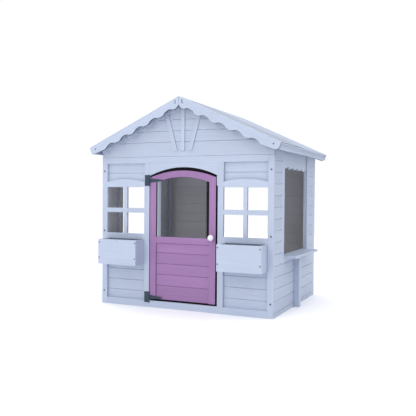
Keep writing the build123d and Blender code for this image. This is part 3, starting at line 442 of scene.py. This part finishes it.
class PaintShop:
    """Keeps one material for each of the record's slots, and finishes pieces with them."""

    def __init__(self, record: dict[str, Any]) -> None:
        """Read which slot and which body each node has.

        Args:
            record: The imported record.
        """
        self.slot_of = {row["node"]: row["material_slot"] for row in record["subparts"]}
        self.body_of = {node: body for body, nodes in record["behaviour"]["bodies"].items()
                        for node in nodes}
        self.materials = {slot: finish.make() for slot, finish in FINISHES.items()}

    def finish(self, mesh: bmesh.types.BMesh, name: str, *nodes: str) -> bpy.types.Object:
        """Turn a mesh into a piece that stands for its nodes, in their finish and on their body.

        Args:
            mesh: The piece's shape. It is used up.
            name: The piece's name.
            nodes: The frame's nodes that the piece stands for.

        Returns:
            The piece.
        """
        data = bpy.data.meshes.new(name)
        mesh.to_mesh(data)
        mesh.free()
        piece = bpy.data.objects.new(name, data)
        bpy.context.scene.collection.objects.link(piece)
        slot = self.slot_of[nodes[0]]
        data.materials.append(self.materials[slot])
        for face in data.polygons:
            face.use_smooth = True
        even = piece.modifiers.new("even_shading", "WEIGHTED_NORMAL")
        even.mode = "FACE_AREA"
        even.weight = 100
        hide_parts(*nodes)
        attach(piece, self.body_of[nodes[0]])
        log.info("%s: %d faces, %s, on %s", name, len(data.polygons), slot, self.body_of[nodes[0]])
        return piece


# ---------------------------------------------------------------- mesh helpers
def solid_of(node: str) -> bmesh.types.BMesh:
    """Copy a node's shape as whole faces, with its corners welded.

    Args:
        node: The node's name.

    Returns:
        The copy. The node's own mesh isn't touched.
    """
    mesh = bmesh.new()
    mesh.from_mesh(frame["nodes"][node].data)
    bmesh.ops.remove_doubles(mesh, verts=mesh.verts, dist=WELD)
    bmesh.ops.dissolve_limit(mesh, angle_limit=FLAT, verts=mesh.verts, edges=mesh.edges)
    return mesh


def islands(mesh: bmesh.types.BMesh) -> list[list[bmesh.types.BMFace]]:
    """Group a mesh's faces into its separate solids.

    Args:
        mesh: The mesh.

    Returns:
        One list of faces for each solid.
    """
    mesh.faces.ensure_lookup_table()
    mesh.faces.index_update()
    seen: set[int] = set()
    groups = []
    for start in mesh.faces:
        if start.index in seen:
            continue
        seen.add(start.index)
        group = [start]
        for reached in group:      # the list grows while it is read, until nothing new is reached
            for edge in reached.edges:
                for face in edge.link_faces:
                    if face.index not in seen:
                        seen.add(face.index)
                        group.append(face)
        groups.append(group)
    return groups


def length_of(board: Sequence[bmesh.types.BMFace]) -> Vector:
    """Find which way a board runs, from its longest edge.

    Args:
        board: The board's faces.

    Returns:
        A unit vector along the board.
    """
    edge = max((e for face in board for e in face.edges), key=lambda e: e.calc_length())
    return (edge.verts[1].co - edge.verts[0].co).normalized()


def round_arrises(mesh: bmesh.types.BMesh, radius: float, segments: int) -> None:
    """Round every sharp edge, and mark the rounded faces.

    Args:
        mesh: The mesh to change.
        radius: How far the rounding reaches from the edge.
        segments: Faces across the rounding.
    """
    layer = mesh.faces.layers.float.new(ARRIS)
    sharp = [e for e in mesh.edges if e.is_manifold and e.calc_face_angle(0.0) > CREASE]
    made = bmesh.ops.bevel(mesh, geom=sharp, offset=radius, offset_type="OFFSET", affect="EDGES",
                           segments=segments, profile=0.5, material=-1, clamp_overlap=True)
    for face in made["faces"]:
        face[layer] = 1.0


def add_tongues(mesh: bmesh.types.BMesh, joint: float, sink: float) -> None:
    """Give each board a tongue that closes its joint with the board beyond.

    Args:
        mesh: The boards, with open joints between them.
        joint: The widest joint that gets a tongue.
        sink: How far a tongue goes into the next board.
    """
    shortest = 20 * joint
    edges = []
    for board in islands(mesh):
        run = length_of(board)
        for face in board:
            long_face = max(e.calc_length() for e in face.edges) > shortest
            if long_face and abs(face.normal.dot(run)) < 1 - ACROSS:
                edges.append((face, face.calc_center_median(), face.normal.copy()))
    joints = []
    for number, (face, centre, normal) in enumerate(edges):
        for _, other_centre, other_normal in edges[number + 1:]:
            step = other_centre - centre
            opposed = normal.dot(other_normal) < -SAME_WAY
            if opposed and 0 < step.dot(normal) < joint and step.length < joint:
                joints.append((face, normal, step.length))
    for face, normal, gap in joints:
        thickness = min(e.calc_length() for e in face.edges)
        bmesh.ops.inset_individual(mesh, faces=[face], thickness=thickness / 3, use_even_offset=True)
        made = bmesh.ops.extrude_discrete_faces(mesh, faces=[face])
        corners = {v for tongue in made["faces"] for v in tongue.verts}
        bmesh.ops.translate(mesh, verts=list(corners), vec=normal * (gap + sink))


def takes_painted_shade(face: bmesh.types.BMFace, node: str) -> bool:
    """Say whether a face is turned into the cabin or into the gaps beside the door, and takes painted
    shade.

    Args:
        face: The face.
        node: The node that it belongs to.

    Returns:
        True for the door stiles' edges, and on the house if a point just off the face is inside the
        walls and under the roof.
    """
    if node in DOOR_LEAF:
        return node == "door_stiles" and abs(face.normal.x) > ACROSS
    point = face.calc_center_median() + face.normal * OFF_FACE
    under_roof = ROOF_UNDER - abs(point.x) * ROOF_FALL
    half = SHELL_HALF if abs(face.normal.x) > ACROSS else CABIN_HALF
    return abs(point.x) < half and CABIN_FRONT < point.y < CABIN_BACK and point.z < under_roof


def draw_grain(mesh: bmesh.types.BMesh, node: str) -> None:
    """Write each board's own coordinates, so that the grain runs along it.

    Sawn ends, and the faces that take painted shade, are marked as well.

    Args:
        mesh: The mesh to change.
        node: The node's name, which seeds its boards' numbers. The order of the mesh's faces
            decides which board takes which number.
    """
    grain = mesh.loops.layers.float_vector.new(GRAIN)
    sawn = mesh.faces.layers.float.new(END_GRAIN)
    cabin_and_gap_shade = mesh.faces.layers.float.new(CABIN_AND_GAP_SHADE)
    numbers = random.Random(node)
    for board in islands(mesh):
        run = length_of(board)
        side = run.orthogonal().normalized()
        number = numbers.uniform(0.0, BOARD_NUMBERS)
        for face in board:
            is_end = abs(face.normal.dot(run)) > ACROSS
            face[sawn] = float(is_end)
            face[cabin_and_gap_shade] = float(takes_painted_shade(face, node))
            along = side if is_end else run
            across = run.cross(side) if is_end else face.normal.cross(run).normalized()
            for loop in face.loops:
                place = loop.vert.co
                loop[grain] = (place.dot(along), place.dot(across), number)


# ---------------------------------------------------------------- timbers
@dataclass
class Joinery:
    """One sub-assembly of sawn and planed timbers."""

    timbers: tuple[str, ...]       # frame members and trim
    boards: tuple[str, ...] = ()   # siding, with a tongue in each joint
    arris: float = 1.6 * MM        # sanded edge of a timber
    board_arris: float = 0.7 * MM  # edge of a board, beside its bevels
    segments: int = 2
    joint: float = 2.5 * MM        # widest joint between two boards
    sink: float = 0.3 * MM         # how far a tongue goes into the next board

    def build(self, shop: PaintShop) -> list[bpy.types.Object]:
        """Make every timber and board of the sub-assembly.

        Args:
            shop: What paints them.

        Returns:
            The pieces.
        """
        pieces = [self.timber(shop, node) for node in self.timbers]
        return pieces + [self.boarding(shop, node) for node in self.boards]

    def timber(self, shop: PaintShop, node: str) -> bpy.types.Object:
        """Paint one node's timbers.

        Args:
            shop: What paints them.
            node: The node.

        Returns:
            The piece.
        """
        return shop.finish(self.planed(node), f"{node}_timber", node)

    def boarding(self, shop: PaintShop, node: str) -> bpy.types.Object:
        """Paint one node's boards.

        Args:
            shop: What paints them.
            node: The node.

        Returns:
            The piece.
        """
        return shop.finish(self.tongued(node), f"{node}_boarding", node)

    def planed(self, node: str) -> bmesh.types.BMesh:
        """Shape one node's timbers, with their arrises rounded.

        Args:
            node: The node.

        Returns:
            The mesh.
        """
        mesh = solid_of(node)
        round_arrises(mesh, self.arris, self.segments)
        draw_grain(mesh, node)
        return mesh

    def tongued(self, node: str) -> bmesh.types.BMesh:
        """Shape one node's boards, with their arrises rounded and tongues in their joints.

        Args:
            node: The node.

        Returns:
            The mesh.
        """
        mesh = solid_of(node)
        round_arrises(mesh, self.board_arris, self.segments)
        add_tongues(mesh, self.joint, self.sink)
        draw_grain(mesh, node)
        return mesh


@dataclass
class FrontWall(Joinery):
    """Stiles and rails with arched head boards and cross-barred windows, boarded behind."""

    timbers: tuple[str, ...] = (
        "front_corner_stiles", "front_bottom_rail", "front_top_rail", "door_side_stiles",
        "window_sill_rails", "window_head_boards", "doorway_head_board", "window_mullions",
        "window_transoms", "door_catch")
    boards: tuple[str, ...] = ("front_lower_siding", "front_upper_siding")


@dataclass
class FlowerBoxes(Joinery):
    """Two open boxes under the front windows."""

    timbers: tuple[str, ...] = ("flower_box_fronts", "flower_box_ends", "flower_box_floors")
    arris: float = 1.4 * MM


@dataclass
class SideWalls(Joinery):
    """Two boarded side walls with framed openings, a toothed valance, a shelf and its leg."""

    timbers: tuple[str, ...] = (
        "side_posts", "side_rails", "side_casings", "side_valances", "serving_shelf", "shelf_leg",
        "left_sill_board")
    boards: tuple[str, ...] = ("side_siding_left", "side_siding_right")


@dataclass
class BackWall(Joinery):
    """A boarded back wall with one large opening."""

    timbers: tuple[str, ...] = (
        "back_corner_stiles", "back_window_stiles", "back_bottom_rail", "back_top_rail",
        "back_opening_rails")
    boards: tuple[str, ...] = ("back_siding",)


@dataclass
class Gables(Joinery):
    """Boarded gables with rake trims and a fan of three slats on the front."""

    timbers: tuple[str, ...] = ("gable_frame_front", "gable_frame_rear", "rake_trims", "fan_slats")
    boards: tuple[str, ...] = ("gable_boards_front", "gable_boards_rear")
    arris: float = 1.0 * MM


@dataclass
class Roof(Joinery):
    """Boarded slopes on battens, a ridge beam, eave strips and scalloped bargeboards."""

    timbers: tuple[str, ...] = (
        "bargeboards_front", "bargeboards_rear", "roof_battens", "ridge_beam", "eave_strips")
    boards: tuple[str, ...] = ("roof_boards_left", "roof_boards_right")
    arris: float = 1.8 * MM
    seam: float = 421.0 * MM       # where the front panel ends
    front_panel_shade: float = 0.22        # painted shade on the boards of the front panel
    joint_shade: float = 1.0        # painted shade in the bevels beside each joint, which darkens its line
    rear_share: float = 0.3        # of both, on the rear panel
    # Under the bargeboards' scallops. It stands in for a tight shadow that the lights don't give.
    scallop_shadow: float = 0.9
    under_lean: float = -0.35      # z of the normal, below which a face counts as an underside

    def timber(self, shop: PaintShop, node: str) -> bpy.types.Object:
        """Paint one node's timbers, with a painted shadow under the bargeboards' scallops.

        Args:
            shop: What paints them.
            node: The node.

        Returns:
            The piece.
        """
        mesh = self.planed(node)
        if node.startswith("bargeboards"):
            painted_shade = mesh.faces.layers.float.new(PAINTED_SHADE)
            for face in mesh.faces:
                face[painted_shade] = self.scallop_shadow * (face.normal.z < self.under_lean)
        return shop.finish(mesh, f"{node}_timber", node)

    def boarding(self, shop: PaintShop, node: str) -> bpy.types.Object:
        """Paint a slope's boards, with painted shade on its panels and in their joints.

        Args:
            shop: What paints them.
            node: The node.

        Returns:
            The piece.
        """
        mesh = self.tongued(node)
        painted_shade = mesh.faces.layers.float.new(PAINTED_SHADE)
        for face in mesh.faces:
            centre = face.calc_center_median()
            if face.normal.z > 0:
                slope = Vector((math.copysign(math.sin(PITCH), centre.x), 0, math.cos(PITCH)))
                flat = face.normal.dot(slope) > SAME_WAY
                shade_grey = self.front_panel_shade if flat else self.joint_shade
                face[painted_shade] = shade_grey if centre.y < self.seam else shade_grey * self.rear_share
        return shop.finish(mesh, f"{node}_boarding", node)


@dataclass
class DoorStops(Joinery):
    """Black strips behind the doorway that the door closes against. Their black is partly painted
    shade, for the dark seen in the door's gaps.
    """

    timbers: tuple[str, ...] = ("door_stops",)
    arris: float = 0.8 * MM


@dataclass
class HalfDoor(Joinery):
    """A stile and rail door, open above its middle rail, with a turned knob."""

    timbers: tuple[str, ...] = ("door_stiles", "door_middle_rail", "door_arch_rail")
    boards: tuple[str, ...] = ("door_boards",)
    knob_steps: int = 48
    profile_points: int = 26
    # The knob's shares of its radius:
    foot: float = 0.52
    collar_swell: float = 0.06     # bead round the foot
    waist: float = 0.44
    ball: float = 0.86             # half of the ball's depth
    # and of its depth, from the door:
    collar: tuple[float, float] = (0.05, 0.1)    # the bead's middle and end
    neck: tuple[float, float, float] = (0.14, 0.18, 0.26)  # the waist's start and end, and the ball

    def build(self, shop: PaintShop) -> list[bpy.types.Object]:
        """Make the door's timbers and its knob.

        Args:
            shop: What paints it.

        Returns:
            The pieces.
        """
        return [*super().build(shop), self.knob(shop)]

    def knob(self, shop: PaintShop) -> bpy.types.Object:
        """Turn the knob on a lathe: a foot, a waist, and a ball a little flat on its face.

        Args:
            shop: What paints it.

        Returns:
            The piece.
        """
        low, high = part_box("door_knob")
        radius = (high.x - low.x) / 2
        centre = Vector(((low.x + high.x) / 2, high.y, (low.z + high.z) / 2))
        depth = high.y - low.y
        mesh = bmesh.new()
        rim = [mesh.verts.new(centre + Vector((r, -out, 0))) for r, out in self.profile(radius, depth)]
        line = [mesh.edges.new(pair) for pair in zip(rim, rim[1:])]
        bmesh.ops.spin(mesh, geom=rim + line, cent=centre, axis=(0, 1, 0), angle=math.tau,
                       steps=self.knob_steps, use_merge=True)
        bmesh.ops.remove_doubles(mesh, verts=mesh.verts, dist=WELD)
        bmesh.ops.recalc_face_normals(mesh, faces=mesh.faces)
        draw_grain(mesh, "door_knob")
        return shop.finish(mesh, "door_knob_turned", "door_knob")

    def profile(self, radius: float, depth: float) -> list[tuple[float, float]]:
        """Half of the knob's section.

        Args:
            radius: The ball's radius.
            depth: The knob's whole depth from the door.

        Returns:
            Distances from the axis and from the door, from the foot's middle to the face's middle.
        """
        foot, waist, reach = self.foot * radius, self.waist * radius, self.ball * radius
        bead_middle, bead_end = (share * depth for share in self.collar)
        waist_start, waist_end, ball_start = (share * depth for share in self.neck)
        points = [(0.0, 0.0), (foot, 0.0), (foot + self.collar_swell * radius, bead_middle),
                  (foot, bead_end), (waist, waist_start), (waist, waist_end)]
        centre_out = depth - reach
        start = max(math.asin(min(1.0, (centre_out - ball_start) / reach)), math.acos(waist / radius))
        for step in range(self.profile_points + 1):
            turn = -start + (start + math.pi / 2) * step / self.profile_points
            points.append((radius * math.cos(turn), centre_out + reach * math.sin(turn)))
        points[-1] = (0.0, depth)
        return points


# ---------------------------------------------------------------- ironwork and fixings
@dataclass
class Hinges:
    """Two T-hinges: leaves on the wall, straps on the door, and a pin through each."""

    plates: tuple[str, ...] = ("hinge_leaves", "hinge_straps")
    pins: tuple[str, ...] = ("hinge_pins",)
    arris: float = 0.45 * MM
    pin_arris: float = 0.6 * MM
    segments: int = 2

    def build(self, shop: PaintShop) -> list[bpy.types.Object]:
        """Make the hinges' plates and pins, with rolled edges.

        Args:
            shop: What coats them.

        Returns:
            The pieces.
        """
        pieces = []
        for nodes, radius in ((self.plates, self.arris), (self.pins, self.pin_arris)):
            for node in nodes:
                mesh = solid_of(node)
                round_arrises(mesh, radius, self.segments)
                pieces.append(shop.finish(mesh, f"{node}_pressed", node))
        return pieces


class Drive(Enum):
    """What turns a fixing."""

    CROSS = "cross"
    HEXAGON = "hexagon"
    NONE = "none"


@dataclass
class Fixing:
    """All the screws or nails of one node, with a shaped head on each."""

    node: str
    drive: Drive
    crown: float = 0.45            # height of the head's dome, as a share of the head's height
    steps: int = 20
    dome_points: int = 5
    recess_width: float = 0.24     # of the head's radius
    recess_reach: float = 0.62
    recess_depth: float = 0.6      # of the head's height
    tip: float = 0.18              # pointed end, as a share of the shank
    rim: float = 0.9               # a corner past this share of the head's radius is on the head
    on_axis: float = 0.1 * MM      # a corner within this of the axis isn't on the shank

    def build(self, shop: PaintShop) -> bpy.types.Object:
        """Make a fixing in place of each of the node's solids.

        Args:
            shop: What plates them.

        Returns:
            The piece, with every one of them.
        """
        solid = solid_of(self.node)
        whole = bmesh.new()
        turns = random.Random(self.node)
        pattern = None
        for group in islands(solid):
            corners = {v for face in group for v in face.verts}
            middle, out, sizes = self.measure([v.co.copy() for v in corners])
            pattern = pattern or self.pattern(*sizes)
            copy = pattern.copy()
            turn = Matrix.Rotation(turns.uniform(0, math.tau), 4, "Z")
            stand = out.to_track_quat("Z", "Y").to_matrix().to_4x4()
            copy.transform(Matrix.Translation(middle) @ stand @ turn)
            whole.from_mesh(copy)
            bpy.data.meshes.remove(copy)
        bpy.data.meshes.remove(pattern)
        solid.free()
        return shop.finish(whole, f"{self.node}_made", self.node)

    def measure(self, corners: list[Vector]) -> tuple[Vector, Vector, tuple[float, ...]]:
        """Read a plain head and shank's place and sizes from their corners.

        Args:
            corners: The solid's corners.

        Returns:
            The middle of the head's underside, the way that the head faces, and the four sizes
            that pattern() takes.
        """
        low = Vector(min(c[i] for c in corners) for i in range(3))
        high = Vector(max(c[i] for c in corners) for i in range(3))
        axis = max(range(3), key=lambda i: high[i] - low[i])
        centre = (low + high) / 2

        def reach(corner: Vector) -> float:
            """Distance of a corner from the axis."""
            step = corner - centre
            step[axis] = 0.0
            return step.length

        head_radius = max(map(reach, corners))
        head = [c[axis] for c in corners if reach(c) > head_radius * self.rim]
        shank_radius = min(reach(c) for c in corners if reach(c) > self.on_axis)
        facing = 1.0 if sum(head) / len(head) > centre[axis] else -1.0
        out = Vector((0.0, 0.0, 0.0))
        out[axis] = facing
        middle = centre.copy()
        middle[axis] = min(head) if facing > 0 else max(head)
        head_height = max(head) - min(head)
        shank_length = high[axis] - low[axis] - head_height
        return middle, out, (head_radius, head_height, shank_radius, shank_length)

    def pattern(self, head: float, height: float, shank: float,
                length: float) -> bpy.types.Mesh:
        """Turn one fixing on the origin, facing up, and cut its recess.

        Args:
            head: The head's radius.
            height: The head's height.
            shank: The shank's radius.
            length: The shank's length.

        Returns:
            The mesh, which the caller removes.
        """
        shoulder = height * (1 - self.crown)
        angles = [step * math.pi / 2 / self.dome_points for step in range(self.dome_points)]
        dome = [(head * math.cos(angle), shoulder + height * self.crown * math.sin(angle))
                for angle in angles]
        section = [(0.0, -length), (shank, -length * (1 - self.tip)), (shank, 0.0), (head, 0.0),
                   *dome, (0.0, height)]
        mesh = bmesh.new()
        rim = [mesh.verts.new((radius, 0, z)) for radius, z in section]
        line = [mesh.edges.new(pair) for pair in zip(rim, rim[1:])]
        bmesh.ops.spin(mesh, geom=rim + line, cent=(0, 0, 0), axis=(0, 0, 1), angle=math.tau,
                       steps=self.steps, use_merge=True)
        bmesh.ops.remove_doubles(mesh, verts=mesh.verts, dist=WELD)
        bmesh.ops.recalc_face_normals(mesh, faces=mesh.faces)
        data = bpy.data.meshes.new(self.node)
        mesh.to_mesh(data)
        mesh.free()
        if self.drive is Drive.NONE:
            return data
        return cut_away(data, self.recess(head, height))

    def recess(self, head: float, height: float) -> bmesh.types.BMesh:
        """Shape of the driver that fits the head.

        Args:
            head: The head's radius.
            height: The head's height.

        Returns:
            A closed solid to cut away.
        """
        cutter = bmesh.new()
        depth = height * self.recess_depth
        level = Matrix.Translation((0, 0, height))
        if self.drive is Drive.HEXAGON:
            bmesh.ops.create_cone(cutter, cap_ends=True, segments=6, radius1=head * self.recess_reach,
                                  radius2=head * self.recess_reach, depth=2 * depth, matrix=level)
            return cutter
        arm, width = head * self.recess_reach, head * self.recess_width
        for long_x, long_y in ((arm, width / 2), (width / 2, arm)):
            size = Matrix.Diagonal((2 * long_x, 2 * long_y, 2 * depth, 1))
            bmesh.ops.create_cube(cutter, size=1.0, matrix=level @ size)
        return cutter


def cut_away(data: bpy.types.Mesh, cutter: bmesh.types.BMesh) -> bpy.types.Mesh:
    """Cut one solid from another.

    Args:
        data: The mesh to cut. It is used up.
        cutter: The solid to cut away. It is used up.

    Returns:
        The cut mesh.
    """
    tool_data = bpy.data.meshes.new("cutter")
    cutter.to_mesh(tool_data)
    cutter.free()
    work = bpy.data.objects.new("work", data)
    tool = bpy.data.objects.new("tool", tool_data)
    for thing in (work, tool):
        bpy.context.scene.collection.objects.link(thing)
    cut = work.modifiers.new("cut", "BOOLEAN")
    cut.operation = "DIFFERENCE"
    cut.solver = "EXACT"
    cut.use_self = True
    cut.object = tool
    seen = bpy.context.evaluated_depsgraph_get()
    result = bpy.data.meshes.new_from_object(work.evaluated_get(seen), depsgraph=seen)
    for thing, mesh in ((work, data), (tool, tool_data)):
        bpy.data.objects.remove(thing)
        bpy.data.meshes.remove(mesh)
    return result


@dataclass
class Fixings:
    """Every visible screw, bolt and nail."""

    kinds: tuple[tuple[str, Drive], ...] = (
        ("corner_bolts", Drive.HEXAGON),
        ("bargeboard_screws", Drive.CROSS),
        ("flower_box_screws", Drive.CROSS),
        ("hinge_leaf_screws", Drive.CROSS),
        ("hinge_strap_screws", Drive.CROSS),
        ("knob_screw", Drive.CROSS),
        ("siding_nails", Drive.NONE),
    )

    def build(self, shop: PaintShop) -> list[bpy.types.Object]:
        """Make every kind of fixing.

        Args:
            shop: What plates them.

        Returns:
            The pieces.
        """
        return [Fixing(node, drive).build(shop) for node, drive in self.kinds]


# ---------------------------------------------------------------- studio
@dataclass(frozen=True)
class SoftBox:
    """One square area light."""

    name: str
    place: tuple[float, float, float]
    aim: tuple[float, float, float]  # the point that it faces
    side: float
    watts: float
    colour: str


KEY = SoftBox("key", (-0.7, -5.6, 2.6), (0.0, 0.2, 0.6), 3.2, 90.0, "#FFFDF8")
FILL = SoftBox("fill", (4.6, -3.6, 1.4), (0.2, 0.2, 0.5), 3.0, 24.0, "#F4F7FF")
CEILING = SoftBox("ceiling", (0.0, 0.5, 8.0), (0.0, 0.5, 0.0), 20.0, 1480.0, "#FFFFFF")


@dataclass
class Studio:
    """A pale floor, soft lights and the camera."""

    lights: tuple[SoftBox, ...] = (KEY, FILL, CEILING)
    floor_reach: float = 7.5
    sky: str = "#FAFBFF"
    sky_strength: float = 0.55
    backdrop_strength: float = 1.05
    lens_mm: float = 50.49
    sensor_mm: float = 36.0
    station: tuple[float, float, float] = (1.65285, -3.28510, 0.72750)
    yaw: float = 24.27             # degrees, from +Y towards -X
    dip: float = 1.26              # degrees below level
    roll: float = 0.48             # degrees

    def build(self) -> None:
        """Set up the whole studio."""
        self.floor()
        self.backdrop()
        for soft_box in self.lights:
            self.light(soft_box)
        self.camera()

    def floor(self) -> None:
        """Lay the floor."""
        mesh = bmesh.new()
        bmesh.ops.create_grid(mesh, x_segments=1, y_segments=1, size=self.floor_reach)
        data = bpy.data.meshes.new("floor")
        mesh.to_mesh(data)
        mesh.free()
        floor = bpy.data.objects.new("floor", data)
        bpy.context.scene.collection.objects.link(floor)
        data.materials.append(PALE_CARD.make())

    def backdrop(self) -> None:
        """Surround the scene with an even white, brighter to look at than it is as a lamp."""
        world = bpy.data.worlds.new("studio")
        world.use_nodes = True
        tree = world.node_tree
        tree.nodes.clear()
        seen = add(tree, "ShaderNodeLightPath").outputs["Is Camera Ray"]
        strength = spread(tree, seen, 0.0, 1.0, self.sky_strength, self.backdrop_strength)
        glow = add(tree, "ShaderNodeBackground", {"Color": linear(self.sky)}, {"Strength": strength})
        add(tree, "ShaderNodeOutputWorld", {}, {"Surface": glow.outputs[0]})
        bpy.context.scene.world = world
        bpy.context.scene.view_settings.view_transform = "Standard"

    def light(self, soft_box: SoftBox) -> None:
        """Hang one soft box.

        Args:
            soft_box: The light to hang.
        """
        lamp = bpy.data.lights.new(soft_box.name, "AREA")
        lamp.size = soft_box.side
        lamp.energy = soft_box.watts
        lamp.color = linear(soft_box.colour)[:3]
        holder = bpy.data.objects.new(soft_box.name, lamp)
        holder.location = soft_box.place
        facing = Vector(soft_box.place) - Vector(soft_box.aim)
        holder.rotation_euler = facing.to_track_quat("Z", "Y").to_euler()
        bpy.context.scene.collection.objects.link(holder)

    def camera(self) -> None:
        """Stand the camera in front and to the right, at a child's eye level."""
        lens = bpy.data.cameras.new("camera")
        lens.lens = self.lens_mm
        lens.sensor_width = self.sensor_mm
        camera = bpy.data.objects.new("camera", lens)
        turn = Matrix.Rotation(math.radians(self.yaw), 4, "Z")
        tilt = Matrix.Rotation(math.radians(90 - self.dip), 4, "X")
        level = Matrix.Rotation(math.radians(self.roll), 4, "Z")
        camera.matrix_world = Matrix.Translation(self.station) @ turn @ tilt @ level
        bpy.context.scene.collection.objects.link(camera)
        bpy.context.scene.camera = camera


def main() -> None:
    """Build every sub-assembly in order, and then the studio round them."""
    logging.basicConfig(level=logging.INFO, format="%(name)s: %(message)s")
    shop = PaintShop(frame["record"])
    assemblies = (FrontWall(), FlowerBoxes(), SideWalls(), BackWall(), Gables(), Roof(), DoorStops(),
                  HalfDoor(), Hinges(), Fixings())
    for assembly in assemblies:
        pieces = assembly.build(shop)
        log.info("%s: %d pieces", type(assembly).__name__, len(pieces))
    Studio().build()


if __name__ == "__main__":
    main()
